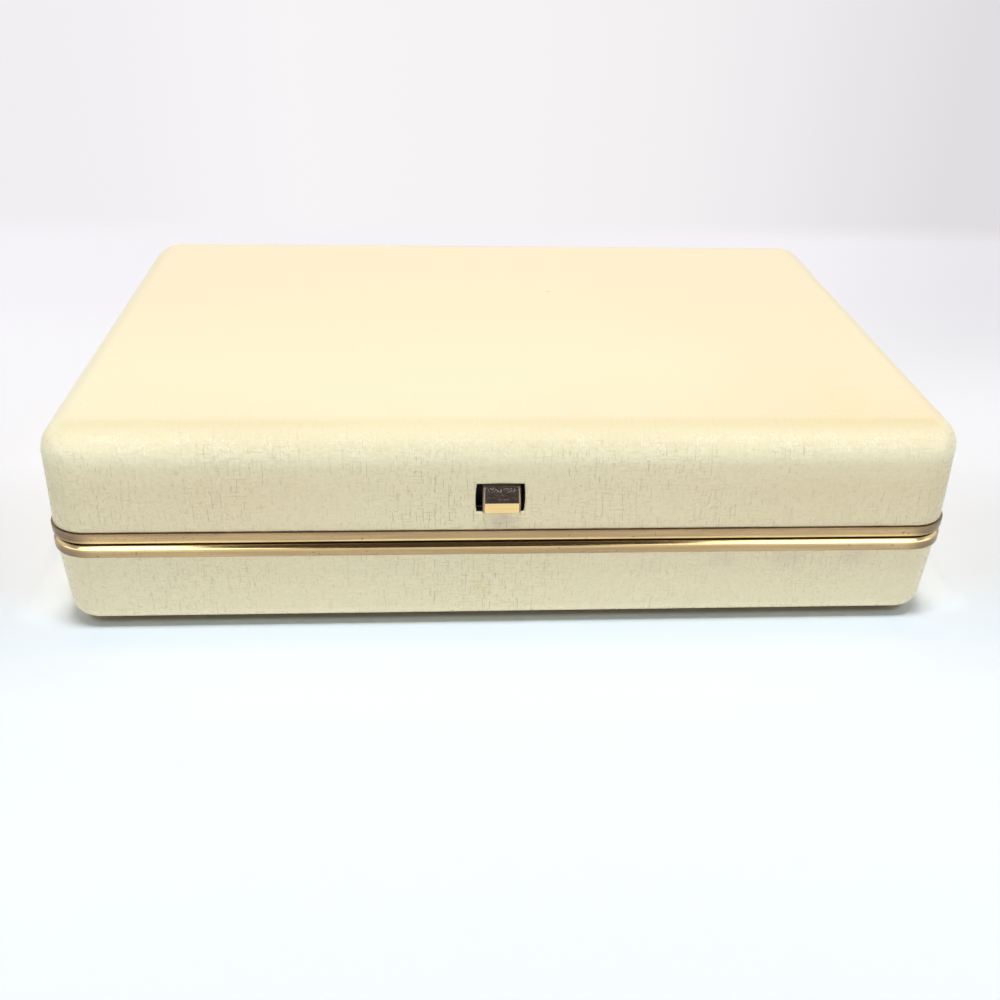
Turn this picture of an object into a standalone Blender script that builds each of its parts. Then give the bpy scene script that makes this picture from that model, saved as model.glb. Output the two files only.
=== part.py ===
# A leatherette jewelry case with gilt metal bands, a sliding front catch and a tray
# that rises as the lid opens. Metres, +Z up, front towards -Y, origin under the centre
# of the felt foot.

import math

import bmesh
import bpy
from mathutils import Matrix, Vector

# Driving sizes of the leathered case
CASE_WIDTH = 0.280
CASE_DEPTH = 0.189
LID_HEIGHT = 0.0376
BASE_HEIGHT = 0.0293
CORNER_RADIUS = 0.0120
LID_EDGE_RADIUS = 0.0100
BASE_EDGE_RADIUS = 0.0055
LID_DRAFT = 0.017
BASE_DRAFT = 0.056
CORNER_STEPS = 6
EDGE_STEPS = 4

# Walls, from the leathered face inwards
COVER_THICKNESS = 0.0007
SHELL_WALL = 0.0022
LINING_THICKNESS = 0.0008
FELT_THICKNESS = 0.0020
FELT_INSET = 0.0065

# Gaps between pieces that are glued or riveted, and between pieces that move
GLUE_GAP = 0.0003
RUNNING_GAP = 0.0003

# Metal bands that cap the edges of both halves
BAND_PROUD = 0.0006
LID_BAND_HEIGHT = 0.0042
BASE_BAND_HEIGHT = 0.0040
BAND_CHAMFER = 0.0012
BAND_WEB = 0.0010
BAND_LIP_WALL = 0.0008
BAND_LIP_HEIGHT = 0.0035
BAND_LIP_GAP = 0.0006
PARTING_GAP = 0.0003

# Rivets
RIVET_RADIUS = 0.0010
RIVET_HEAD_RADIUS = 0.0019
RIVET_HEAD = 0.0008
RIVET_BITE = 0.0012

# Front catch: window, button, slide, spring, housing and strike
CATCH_X = -0.0031
CATCH_RISE = 0.0155
WINDOW_WIDTH = 0.0144
WINDOW_HEIGHT = 0.0097
BUTTON_WIDTH = 0.0115
BUTTON_PROUD = 0.0013
BUTTON_SHIFT = 0.00045
BUTTON_LEDGE = 0.0033
BUTTON_SLOPE = 0.0020
BUTTON_EASE = 0.0004
CATCH_TRAVEL = 0.0016
STEM_RADIUS = 0.0015
SLIDE_PLATE = 0.0010
SLIDE_WIDTH = 0.0360
SLIDE_HEIGHT = 0.0150
SLIDE_DROP = 0.0012
GUIDE_SPACING = 0.0290
COLLAR_RADIUS = 0.0018
STRIKE_WIDTH = 0.0060
STRIKE_RISE = 0.0104
STRIKE_FOOT_WIDTH = 0.0160
STRIKE_FOOT_HEIGHT = 0.0075
STRIKE_FOOT_DROP = 0.0020
STRIKE_RIVET_SPACING = 0.0100
NOTCH_DEPTH = 0.0015
NOTCH_DROP = 0.0022
HOOK_HEIGHT = 0.0014
SPRING_RADIUS = 0.0012
SPRING_WIRE = 0.0004
SPRING_LENGTH = 0.0066
SPRING_TURNS = 7
SPRING_PRONG_LENGTH = 0.0020
SPRING_PRONG_WIDTH = 0.0010
HOUSING_WALL = 0.0006
HOUSING_EAR = 0.0060

# Hinges in the rear groove
HINGE_END = 0.055
HINGE_LENGTH = 0.0240
BARREL_RADIUS = 0.0017
HINGE_PIN_RADIUS = 0.0008
PIN_CLEARANCE = 0.0001
KNUCKLE_GAP = 0.0004

# Rising tray, and the parallel arms and brackets that carry it
TRAY_FLOOR_DROP = 0.0100
TRAY_HEIGHT = 0.0200
TRAY_FRONT_Y = -0.030
TRAY_REAR_GAP = 0.0041
TRAY_SIDE_GAP = 0.0043
TRAY_WALL = 0.0020
TRAY_FLOOR = 0.0016
TRAY_RIB = 0.0020
TRAY_CORNER_RADIUS = 0.0040
TRAY_COLUMNS = 3
TRAY_ROWS = 2
LIFT_CLEARANCE = 0.0018
ARM_DROP = 0.0050
ARM_WIDTH = 0.0064
ARM_PLATE = 0.0010
BASE_PIVOT_Y = 0.020
BASE_PIVOT_DROP = 0.0010
BRACKET_PLATE = 0.0008
BRACKET_WIDTH = 0.0140
BRACKET_FOOT = 0.0085
BRACKET_LIFT = 0.0012
BRACKET_RIVET_SPACING = 0.0074
STOP_RISE = 0.0036
STOP_HEIGHT = 0.0042

# Dividers and ring rolls in the base, and the pad in the lid
DIVIDER_THICKNESS = 0.0024
FRONT_DIVIDER_X = 0.068
REAR_DIVIDER_X = 0.045
ROLL_COUNT = 5
PAD_THICKNESS = 0.0050
PAD_EDGE_RADIUS = 0.0030
PAD_CORNER_RADIUS = 0.0080
PAD_MARGIN = 0.0070

# Places worked out from the sizes above
BASE_BOTTOM_Z = FELT_THICKNESS + GLUE_GAP
PARTING_Z = BASE_BOTTOM_Z + BASE_HEIGHT
HALF_GAP = PARTING_GAP / 2
SHELL_INSET = COVER_THICKNESS + GLUE_GAP
LINING_INSET = SHELL_INSET + SHELL_WALL + GLUE_GAP
ROOM_INSET = LINING_INSET + LINING_THICKNESS
SHELL_START = HALF_GAP + BAND_WEB + GLUE_GAP
BAND_FLANGE = BAND_PROUD + COVER_THICKNESS
BAND_WIDTH = BAND_PROUD + ROOM_INSET + BAND_LIP_GAP + BAND_LIP_WALL
MOUTH_HALF_X = CASE_WIDTH / 2 + BAND_PROUD - BAND_WIDTH
MOUTH_HALF_Y = CASE_DEPTH / 2 + BAND_PROUD - BAND_WIDTH
FLOOR_Z = BASE_BOTTOM_Z + ROOM_INSET
AXIS_Y = CASE_DEPTH / 2 + BAND_PROUD
PAD_BACK_Z = PARTING_Z + LID_HEIGHT - ROOM_INSET - GLUE_GAP
PAD_FACE_Z = PAD_BACK_Z - PAD_THICKNESS

CATCH_Z = PARTING_Z + CATCH_RISE
BUTTON_X = CATCH_X + BUTTON_SHIFT
HINGE_X = CASE_WIDTH / 2 - HINGE_END
SLIDE_FRONT_Y = -MOUTH_HALF_Y + RUNNING_GAP
SLIDE_BACK_Y = SLIDE_FRONT_Y + SLIDE_PLATE
SLIDE_Z = CATCH_Z - SLIDE_DROP

TRAY_Z = PARTING_Z - TRAY_FLOOR_DROP
TRAY_REAR_Y = MOUTH_HALF_Y - TRAY_REAR_GAP
TRAY_HALF_X = MOUTH_HALF_X - TRAY_SIDE_GAP
ARM_REACH = PAD_FACE_Z - PARTING_Z + AXIS_Y - TRAY_REAR_Y - LIFT_CLEARANCE
ARM_X = TRAY_HALF_X + RIVET_HEAD + 2 * RUNNING_GAP
BRACKET_X = ARM_X + ARM_PLATE + RUNNING_GAP
EYE_RADIUS = RIVET_RADIUS + PIN_CLEARANCE
TRAY_PIVOT = Vector((0, AXIS_Y - ARM_REACH, PARTING_Z - ARM_DROP))
BASE_PIVOT = Vector((0, BASE_PIVOT_Y, PARTING_Z - BASE_PIVOT_DROP))

# Turns a flat outline sideways: its X to world Y and its Y to world Z
SIDEWAYS = Matrix(((0, 0, 1), (1, 0, 0), (0, 1, 0))).to_4x4()
# Stands a flat outline up to face the front: its Y to world Z
FACING_FRONT = Matrix.Rotation(math.pi / 2, 4, "X")


def clear_scene():
    for item in list(bpy.data.objects):
        bpy.data.objects.remove(item, do_unlink=True)


def new_collection(name):
    group = bpy.data.collections.new(name)
    bpy.context.scene.collection.children.link(group)
    return group


def new_material(name, color, roughness, metallic=0.0):
    material = bpy.data.materials.new(name)
    material.use_nodes = True
    shader = material.node_tree.nodes["Principled BSDF"]
    shader.inputs["Base Color"].default_value = (*color, 1.0)
    shader.inputs["Roughness"].default_value = roughness
    shader.inputs["Metallic"].default_value = metallic
    return material


def place(name, data, material=None, matrix=None):
    """Adds a mesh or curve to the case as one named piece."""
    item = bpy.data.objects.new(name, data)
    if material:
        data.materials.append(material)
    parts.objects.link(item)
    if matrix is not None:
        item.matrix_world = matrix
    return item


def mesh_from(bm, name):
    mesh = bpy.data.meshes.new(name)
    bmesh.ops.recalc_face_normals(bm, faces=bm.faces)
    bm.to_mesh(mesh)
    bm.free()
    return mesh


def smooth(item, angle=40):
    item.data.shade_smooth()
    item.data.set_sharp_from_angle(angle=math.radians(angle))
    return item


def facing(direction):
    """The turn that takes +Z to a direction."""
    return Vector((0, 0, 1)).rotation_difference(Vector(direction)).to_matrix().to_4x4()


def rounded_outline(half_x, half_y, radius, steps=CORNER_STEPS):
    """A rectangle with round corners, anticlockwise from its lower right."""
    points = []
    for corner in range(4):
        centre_x = (half_x - radius) * (1 if corner in (0, 1) else -1)
        centre_y = (half_y - radius) * (1 if corner in (1, 2) else -1)
        for step in range(steps + 1):
            angle = math.radians(90) * (corner - 1 + step / steps)
            points.append((centre_x + radius * math.cos(angle), centre_y + radius * math.sin(angle)))
    return points


def circle_outline(centre, radius, sides=12):
    turns = [2 * math.pi * (side + 0.5) / sides for side in range(sides)]
    return [(centre[0] + radius * math.cos(a), centre[1] + radius * math.sin(a)) for a in turns]


def slot_outline(centre, half_run, radius, steps=5):
    """A slot with round ends, whose end centres lie half_run either side of its centre."""
    points = []
    for side, turn in ((1, 0), (-1, math.pi)):
        for step in range(steps + 1):
            angle = turn + math.pi * (step / steps - 0.5)
            points.append((centre[0] + side * half_run + radius * math.cos(angle),
                           centre[1] + radius * math.sin(angle)))
    return points


def plate(name, outlines, thickness, material, matrix):
    """A flat piece from 2D outlines, the first its edge and the rest its holes."""
    curve = bpy.data.curves.new(name, "CURVE")
    curve.dimensions = "2D"
    curve.fill_mode = "BOTH"
    curve.extrude = thickness / 2
    for outline in outlines:
        spline = curve.splines.new("POLY")
        spline.points.add(len(outline) - 1)
        for point, (x, y) in zip(spline.points, outline):
            point.co = (x, y, 0, 1)
        spline.use_cyclic_u = True
    return place(name, curve, material, matrix)


def as_mesh(item):
    """The same piece as a mesh with welded caps, so that a Boolean can cut it."""
    name, matrix, material = item.name, item.matrix_world.copy(), item.data.materials[0]
    graph = bpy.context.evaluated_depsgraph_get()
    mesh = bpy.data.meshes.new_from_object(item.evaluated_get(graph))
    bpy.data.objects.remove(item)
    bm = bmesh.new()
    bm.from_mesh(mesh)
    bmesh.ops.remove_doubles(bm, verts=bm.verts, dist=0.000001)
    mesh = mesh_from(bm, name)
    mesh.materials.clear()
    return place(name, mesh, material, matrix)


def block(name, low, high, material=None, ease=0.0):
    """A rectangular piece between two opposite corners, its edges eased by a bevel."""
    corners = [sorted(pair) for pair in zip(low, high)]
    bm = bmesh.new()
    bmesh.ops.create_cube(bm, size=1.0)
    for vert in bm.verts:
        vert.co = Vector(pair[1] if part > 0 else pair[0] for part, pair in zip(vert.co, corners))
    if ease:
        bmesh.ops.bevel(bm, geom=bm.edges[:], offset=ease, segments=1, profile=0.5, affect="EDGES")
    return place(name, mesh_from(bm, name), material)


def turned(name, profile, material, start, direction, steps=10):
    """A round piece: (radius, height) pairs down its outer side, spun about a direction."""
    mesh = bpy.data.meshes.new(name)
    points = [(radius, 0, height) for radius, height in profile]
    mesh.from_pydata(points, [(i, i + 1) for i in range(len(points) - 1)], [])
    item = place(name, mesh, material, Matrix.Translation(start) @ facing(direction))
    screw = item.modifiers.new("Spin", "SCREW")
    screw.axis = "Z"
    screw.steps = screw.render_steps = steps
    screw.use_merge_vertices = True
    screw.merge_threshold = 0.00001
    screw.use_smooth_shade = True
    return item


def rivet(name, start, direction, length, material, collar=None, far_head=False):
    """A rivet whose head lies before start and whose shank runs from there along direction."""
    head, shank = RIVET_HEAD_RADIUS, RIVET_RADIUS
    profile = [(0, RIVET_HEAD), (head * 0.7, RIVET_HEAD), (head, RIVET_HEAD * 0.4), (head, 0), (shank, 0)]
    if collar:
        profile += [(shank, -collar[0]), (COLLAR_RADIUS, -collar[0]), (COLLAR_RADIUS, -collar[1]),
                    (shank, -collar[1])]
    profile.append((shank, -length))
    if far_head:
        profile += [(head, -length), (head, -length - RIVET_HEAD)]
    profile.append((0, profile[-1][1]))
    return turned(name, profile, material, start, -Vector(direction))


def cutter(item):
    """Sets a shape aside as a tool."""
    item.hide_render = True
    item.display_type = "WIRE"
    parts.objects.unlink(item)
    cutters.objects.link(item)
    return item


def box_cutter(name, low, high):
    return cutter(block(name, low, high))


def drill(name, start, direction, length, radius, sides=12):
    """A round cutter that runs from start along a direction."""
    bm = bmesh.new()
    bmesh.ops.create_cone(bm, cap_ends=True, segments=sides, radius1=radius, radius2=radius, depth=length)
    middle = Vector(start) + Vector(direction) * length / 2
    return cutter(place(name, mesh_from(bm, name), None, Matrix.Translation(middle) @ facing(direction)))


def combine(item, tool, operation="DIFFERENCE"):
    boolean = item.modifiers.new(tool.name, "BOOLEAN")
    boolean.operation = operation
    boolean.object = tool


def join(item, other):
    combine(item, cutter(other), "UNION")


def wall_inset(is_lid, z):
    """How far the lining's inner face lies inside the leathered outline at a height."""
    return ROOM_INSET + (LID_DRAFT if is_lid else BASE_DRAFT) * abs(z - PARTING_Z)


def side_wall(is_lid, z):
    return CASE_WIDTH / 2 - wall_inset(is_lid, z)


def front_wall(is_lid, z):
    return wall_inset(is_lid, z) - CASE_DEPTH / 2


def fasten(name, start, direction, reach, material, pieces, is_lid):
    """A rivet through a fitting that lies within reach, then the lining, into the board."""
    length = reach + LINING_THICKNESS + GLUE_GAP + RIVET_BITE
    rivet(name, start, direction, length, material)
    hole = drill(f"{name}_hole", start - direction * GLUE_GAP, direction, length + 2 * GLUE_GAP,
                 RIVET_RADIUS + GLUE_GAP)
    half = "lid" if is_lid else "base"
    for piece in (*pieces, bpy.data.objects[f"{half}_lining"], bpy.data.objects[f"{half}_shell"]):
        combine(piece, hole)


def half_matrix(is_lid):
    """The lid's layers stand up from the parting plane, and the base's hang down from it."""
    turn = Matrix.Identity(4) if is_lid else Matrix.Rotation(math.pi, 4, "X")
    return Matrix.Translation((0, 0, PARTING_Z)) @ turn


def layer(name, is_lid, inset, start, thickness, material):
    """One open-mouthed layer of a half case, inset from the leathered face."""
    height = (LID_HEIGHT if is_lid else BASE_HEIGHT) - inset
    draft = LID_DRAFT if is_lid else BASE_DRAFT
    least = thickness + GLUE_GAP
    edge_radius = max((LID_EDGE_RADIUS if is_lid else BASE_EDGE_RADIUS) - inset, least)
    corner_radius = max(CORNER_RADIUS - inset, least)
    bm = bmesh.new()
    bmesh.ops.create_cube(bm, size=1.0)
    for vert in bm.verts:
        rise = height if vert.co.z > 0 else start
        vert.co = Vector((math.copysign(CASE_WIDTH / 2 - inset - draft * rise, vert.co.x),
                          math.copysign(CASE_DEPTH / 2 - inset - draft * rise, vert.co.y), rise))
    uprights = [e for e in bm.edges if abs(e.verts[0].co.z - e.verts[1].co.z) > height / 2]
    bmesh.ops.bevel(bm, geom=uprights, offset=corner_radius, segments=CORNER_STEPS, profile=0.5,
                    affect="EDGES")
    ends = [e for e in bm.edges if min(v.co.z for v in e.verts) > height - 0.00001]
    bmesh.ops.bevel(bm, geom=ends, offset=edge_radius, segments=EDGE_STEPS, profile=0.5, affect="EDGES")
    mouth = [f for f in bm.faces if max(v.co.z for v in f.verts) < start + 0.00001]
    bmesh.ops.delete(bm, geom=mouth, context="FACES_ONLY")
    item = smooth(place(name, mesh_from(bm, name), material, half_matrix(is_lid)))
    wall = item.modifiers.new("Wall", "SOLIDIFY")
    wall.thickness = thickness
    wall.offset = -1
    wall.use_even_offset = True
    return item


def band(name, is_lid, height, material):
    """The channel-shaped band that caps the edge of one half, its section swept round the case."""
    section = [(0, height), (0, BAND_CHAMFER), (BAND_CHAMFER, HALF_GAP), (BAND_WIDTH, HALF_GAP),
               (BAND_WIDTH, HALF_GAP + BAND_LIP_HEIGHT),
               (BAND_WIDTH - BAND_LIP_WALL, HALF_GAP + BAND_LIP_HEIGHT),
               (BAND_WIDTH - BAND_LIP_WALL, HALF_GAP + BAND_WEB),
               (BAND_FLANGE, HALF_GAP + BAND_WEB), (BAND_FLANGE, height)]
    bm = bmesh.new()
    loops = []
    for inset, rise in section:
        outline = rounded_outline(CASE_WIDTH / 2 + BAND_PROUD - inset, CASE_DEPTH / 2 + BAND_PROUD - inset,
                                  CORNER_RADIUS + BAND_PROUD - inset)
        loops.append([bm.verts.new((x, y, rise)) for x, y in outline])
    for first, second in zip(loops, loops[1:] + loops[:1]):
        for a, b, c, d in zip(first, first[1:] + first[:1], second[1:] + second[:1], second):
            bm.faces.new((a, b, c, d))
    return smooth(place(name, mesh_from(bm, name), material, half_matrix(is_lid)), 30)


def build_shells():
    """Leather, board, lining and band of both halves, and the felt foot."""
    for half, is_lid in (("base", False), ("lid", True)):
        band_height = LID_BAND_HEIGHT if is_lid else BASE_BAND_HEIGHT
        layer(f"{half}_cover", is_lid, 0, band_height + GLUE_GAP, COVER_THICKNESS, leatherette)
        layer(f"{half}_shell", is_lid, SHELL_INSET, SHELL_START, SHELL_WALL, board)
        layer(f"{half}_lining", is_lid, LINING_INSET, SHELL_START, LINING_THICKNESS,
              satin if is_lid else velvet)
        band(f"{half}_band", is_lid, band_height, gilt)
    inset = BASE_DRAFT * BASE_HEIGHT + FELT_INSET
    outline = rounded_outline(CASE_WIDTH / 2 - inset, CASE_DEPTH / 2 - inset, CORNER_RADIUS - BASE_EDGE_RADIUS)
    plate("foot_felt", [outline], FELT_THICKNESS, felt, Matrix.Translation((0, 0, FELT_THICKNESS / 2)))


def build_hinge(side, label):
    """A barrel hinge: two knuckles on the base's leaf, one on the lid's leaf, and the pin."""
    left = Vector((side * HINGE_X - HINGE_LENGTH / 2, AXIS_Y, PARTING_Z))
    right = left + Vector((HINGE_LENGTH, 0, 0))
    knuckle = HINGE_LENGTH / 3
    room = BARREL_RADIUS + RUNNING_GAP
    leaf_front = AXIS_Y - BAND_WIDTH + BAND_LIP_WALL + 2 * GLUE_GAP
    outside = AXIS_Y + BAND_WIDTH
    for half, away in (("base", -1), ("lid", 1)):
        near, far = PARTING_Z + away * HALF_GAP, PARTING_Z + away * (HALF_GAP + BAND_WEB)
        leaf = block(f"hinge_leaf_{half}_{label}", (left.x, leaf_front, near), (right.x, AXIS_Y, far), gilt)
        combine(leaf, drill(f"barrel_{half}_{label}", left, (1, 0, 0), HINGE_LENGTH, BARREL_RADIUS), "UNION")
        others = [(1, 2)] if half == "base" else [(-1, 1), (2, 4)]
        for first, last in others:
            combine(leaf, box_cutter(f"knuckle_room_{half}_{label}",
                                     (left.x + first * knuckle - KNUCKLE_GAP / 2, AXIS_Y - room,
                                      PARTING_Z - room),
                                     (left.x + last * knuckle + KNUCKLE_GAP / 2, outside, PARTING_Z + room)))
        combine(leaf, drill(f"pin_bore_{half}_{label}", left - Vector((knuckle, 0, 0)), (1, 0, 0),
                            HINGE_LENGTH + 2 * knuckle, HINGE_PIN_RADIUS + PIN_CLEARANCE))
        rim = bpy.data.objects[f"{half}_band"]
        combine(rim, box_cutter(f"leaf_room_{half}_{label}",
                                (left.x - GLUE_GAP, leaf_front - GLUE_GAP, PARTING_Z - away * BAND_WEB),
                                (right.x + GLUE_GAP, outside, far + away * GLUE_GAP / 3)))
        combine(rim, box_cutter(f"barrel_room_{half}_{label}",
                                (left.x - GLUE_GAP, AXIS_Y - room, PARTING_Z - room),
                                (right.x + GLUE_GAP, outside, PARTING_Z + room)))
    turned(f"hinge_pin_{label}",
           [(0, HINGE_LENGTH), (HINGE_PIN_RADIUS, HINGE_LENGTH), (HINGE_PIN_RADIUS, 0), (0, 0)],
           steel, left, (1, 0, 0), steps=12)


def build_window():
    """The opening in the lid's front that the button slides in."""
    window = box_cutter("window",
                        (CATCH_X - WINDOW_WIDTH / 2, -CASE_DEPTH, CATCH_Z - WINDOW_HEIGHT / 2),
                        (CATCH_X + WINDOW_WIDTH / 2, SLIDE_BACK_Y, CATCH_Z + WINDOW_HEIGHT / 2))
    for name in ("lid_cover", "lid_shell", "lid_lining"):
        combine(bpy.data.objects[name], window)


def build_button():
    """The faceted gilt button, with the stem that is peened through the slide."""
    back = SLIDE_FRONT_Y - GLUE_GAP
    face = LID_DRAFT * CATCH_RISE - CASE_DEPTH / 2 - BUTTON_PROUD
    low = CATCH_Z - WINDOW_HEIGHT / 2 + RUNNING_GAP
    high = CATCH_Z + WINDOW_HEIGHT / 2 - RUNNING_GAP
    outline = [(back, low), (face, low), (face, low + BUTTON_LEDGE), (face + BUTTON_SLOPE, high), (back, high)]
    button = as_mesh(plate("latch_button", [outline], BUTTON_WIDTH, gilt,
                           Matrix.Translation((BUTTON_X, 0, 0)) @ SIDEWAYS))
    ease = button.modifiers.new("Ease", "BEVEL")
    ease.width = BUTTON_EASE
    ease.segments = 1
    ease.limit_method = "ANGLE"
    ease.angle_limit = math.radians(30)
    length = SLIDE_PLATE + 2 * GLUE_GAP + BUTTON_LEDGE
    combine(button, drill("stem", (BUTTON_X, back - BUTTON_LEDGE, CATCH_Z), (0, 1, 0),
                          length + GLUE_GAP, STEM_RADIUS), "UNION")


def build_slide(strike_left, strike_right, strike_top, hook_z):
    """The sliding plate: its mouth passes the strike, and its hook holds the strike's notch."""
    left, right = BUTTON_X - SLIDE_WIDTH / 2, BUTTON_X + SLIDE_WIDTH / 2
    bottom, top = SLIDE_Z - SLIDE_HEIGHT / 2, SLIDE_Z + SLIDE_HEIGHT / 2
    mouth_left = strike_left - 2 * RUNNING_GAP
    mouth_right = strike_right + CATCH_TRAVEL + 2 * RUNNING_GAP
    mouth_top = strike_top + 2 * RUNNING_GAP
    hook_tip = strike_left + NOTCH_DEPTH - RUNNING_GAP
    prong = SPRING_PRONG_WIDTH / 2
    edge = [(left, bottom), (mouth_left, bottom), (mouth_left, hook_z - HOOK_HEIGHT),
            (hook_tip, hook_z), (hook_tip, hook_z + HOOK_HEIGHT / 2),
            (mouth_left, hook_z + HOOK_HEIGHT / 2), (mouth_left, mouth_top), (mouth_right, mouth_top),
            (mouth_right, bottom), (right, bottom), (right, top), (left, top), (left, CATCH_Z + prong),
            (left - SPRING_PRONG_LENGTH, CATCH_Z + prong), (left - SPRING_PRONG_LENGTH, CATCH_Z - prong),
            (left, CATCH_Z - prong)]
    half_run = CATCH_TRAVEL / 2
    slots = [slot_outline((BUTTON_X + side * GUIDE_SPACING / 2 + half_run, CATCH_Z), half_run, EYE_RADIUS)
             for side in (-1, 1)]
    stem_hole = circle_outline((BUTTON_X, CATCH_Z), STEM_RADIUS + GLUE_GAP)
    plate("latch_slide", [edge, stem_hole, *slots], SLIDE_PLATE, steel,
          Matrix.Translation((0, (SLIDE_FRONT_Y + SLIDE_BACK_Y) / 2, 0)) @ FACING_FRONT)
    return left, right, bottom, top


def build_guides():
    """Two collared rivets in the lid's board that the slide's slots run on."""
    start_y = SLIDE_BACK_Y + RUNNING_GAP
    lining_y = front_wall(True, CATCH_Z)
    collar = (SLIDE_PLATE + 2 * RUNNING_GAP, start_y - lining_y - GLUE_GAP)
    length = start_y - lining_y + LINING_THICKNESS + GLUE_GAP + RIVET_BITE
    for side, label in ((-1, "left"), (1, "right")):
        start = Vector((BUTTON_X + side * GUIDE_SPACING / 2, start_y, CATCH_Z))
        rivet(f"latch_guide_{label}", start, (0, -1, 0), length, steel, collar)
        hole = drill(f"latch_guide_hole_{label}", start, (0, -1, 0), length + GLUE_GAP,
                     RIVET_RADIUS + GLUE_GAP)
        combine(bpy.data.objects["lid_lining"], hole)
        combine(bpy.data.objects["lid_shell"], hole)


def build_spring(right):
    """The coil that pushes the slide back to the right."""
    steps = SPRING_TURNS * 8
    middle_y = (SLIDE_FRONT_Y + SLIDE_BACK_Y) / 2
    curve = bpy.data.curves.new("latch_spring", "CURVE")
    curve.dimensions = "3D"
    curve.bevel_depth = SPRING_WIRE / 2
    curve.bevel_resolution = 1
    curve.use_fill_caps = True
    spline = curve.splines.new("POLY")
    spline.points.add(steps)
    for step, point in enumerate(spline.points):
        angle = 2 * math.pi * step / 8
        x = right - SPRING_WIRE / 2 - (SPRING_LENGTH - SPRING_WIRE) * step / steps
        point.co = (x, middle_y + SPRING_RADIUS * math.cos(angle), CATCH_Z + SPRING_RADIUS * math.sin(angle), 1)
    place("latch_spring", curve, steel)


def build_housing(left, right, bottom, top):
    """The pressed cover over the slide, open below for the strike and towards the front."""
    front = front_wall(True, top) + GLUE_GAP
    inner_back = SLIDE_BACK_Y + RIVET_HEAD + 2 * RUNNING_GAP
    low = Vector((left - HOUSING_WALL, front, bottom))
    high = Vector((right + HOUSING_WALL, inner_back + HOUSING_WALL, top + HOUSING_WALL))
    housing = block("latch_housing", low, high, gilt)
    combine(housing, box_cutter("housing_room", (left, front - HOUSING_WALL, bottom - HOUSING_WALL),
                                (right, inner_back, top)))
    for side, wall, label in ((-1, low.x, "left"), (1, high.x, "right")):
        join(housing, block(f"housing_ear_{label}",
                            (wall - side * HOUSING_WALL / 2, front, CATCH_Z - HOUSING_EAR / 2),
                            (wall + side * HOUSING_EAR, front + HOUSING_WALL, CATCH_Z + HOUSING_EAR / 2)))
        start = Vector((wall + side * HOUSING_EAR / 2, front + HOUSING_WALL + GLUE_GAP, CATCH_Z))
        fasten(f"housing_rivet_{label}", start, Vector((0, -1, 0)), start.y - front_wall(True, CATCH_Z), gilt,
               [housing], True)


def build_strike(left, right, top, hook_z):
    """The tongue that stands up from the base's front wall into the slide's mouth."""
    foot_top = PARTING_Z - HALF_GAP - BAND_LIP_HEIGHT - STRIKE_FOOT_DROP
    foot_bottom = foot_top - STRIKE_FOOT_HEIGHT
    foot_left, foot_right = CATCH_X - STRIKE_FOOT_WIDTH / 2, CATCH_X + STRIKE_FOOT_WIDTH / 2
    notch = left + NOTCH_DEPTH
    notch_low, notch_high = hook_z - HOOK_HEIGHT - RUNNING_GAP, hook_z + HOOK_HEIGHT / 2 + RUNNING_GAP
    edge = [(foot_left, foot_bottom), (foot_right, foot_bottom), (foot_right, foot_top), (right, foot_top),
            (right, top), (notch, top), (left, notch_high + RUNNING_GAP), (left, notch_high),
            (notch, notch_high), (notch, notch_low), (left, notch_low), (left, foot_top),
            (foot_left, foot_top)]
    strike = as_mesh(plate("strike", [edge], SLIDE_PLATE, gilt,
                           Matrix.Translation((0, (SLIDE_FRONT_Y + SLIDE_BACK_Y) / 2, 0)) @ FACING_FRONT))
    pad_front = front_wall(False, foot_bottom) + GLUE_GAP
    join(strike, block("strike_pad", (foot_left + SLIDE_PLATE, pad_front, foot_bottom + SLIDE_PLATE),
                       (foot_right - SLIDE_PLATE, SLIDE_BACK_Y - SLIDE_PLATE / 2, foot_top - SLIDE_PLATE)))
    for side, label in ((-1, "left"), (1, "right")):
        start = Vector((CATCH_X + side * STRIKE_RIVET_SPACING / 2, SLIDE_BACK_Y + GLUE_GAP,
                        (foot_top + foot_bottom) / 2))
        fasten(f"strike_rivet_{label}", start, Vector((0, -1, 0)), start.y - front_wall(False, start.z), gilt,
               [strike], False)


def build_catch():
    """The catch in the lid's front and the strike that it holds."""
    strike_left, strike_right = CATCH_X - STRIKE_WIDTH / 2, CATCH_X + STRIKE_WIDTH / 2
    strike_top = PARTING_Z + STRIKE_RISE
    hook_z = strike_top - NOTCH_DROP
    build_window()
    build_button()
    left, right, bottom, top = build_slide(strike_left, strike_right, strike_top, hook_z)
    build_guides()
    build_spring(left - GLUE_GAP)
    build_housing(left - SPRING_LENGTH - 2 * GLUE_GAP, right + 2 * RUNNING_GAP, bottom - RUNNING_GAP,
                  top + 2 * RUNNING_GAP)
    build_strike(strike_left, strike_right, strike_top, hook_z)


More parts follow.
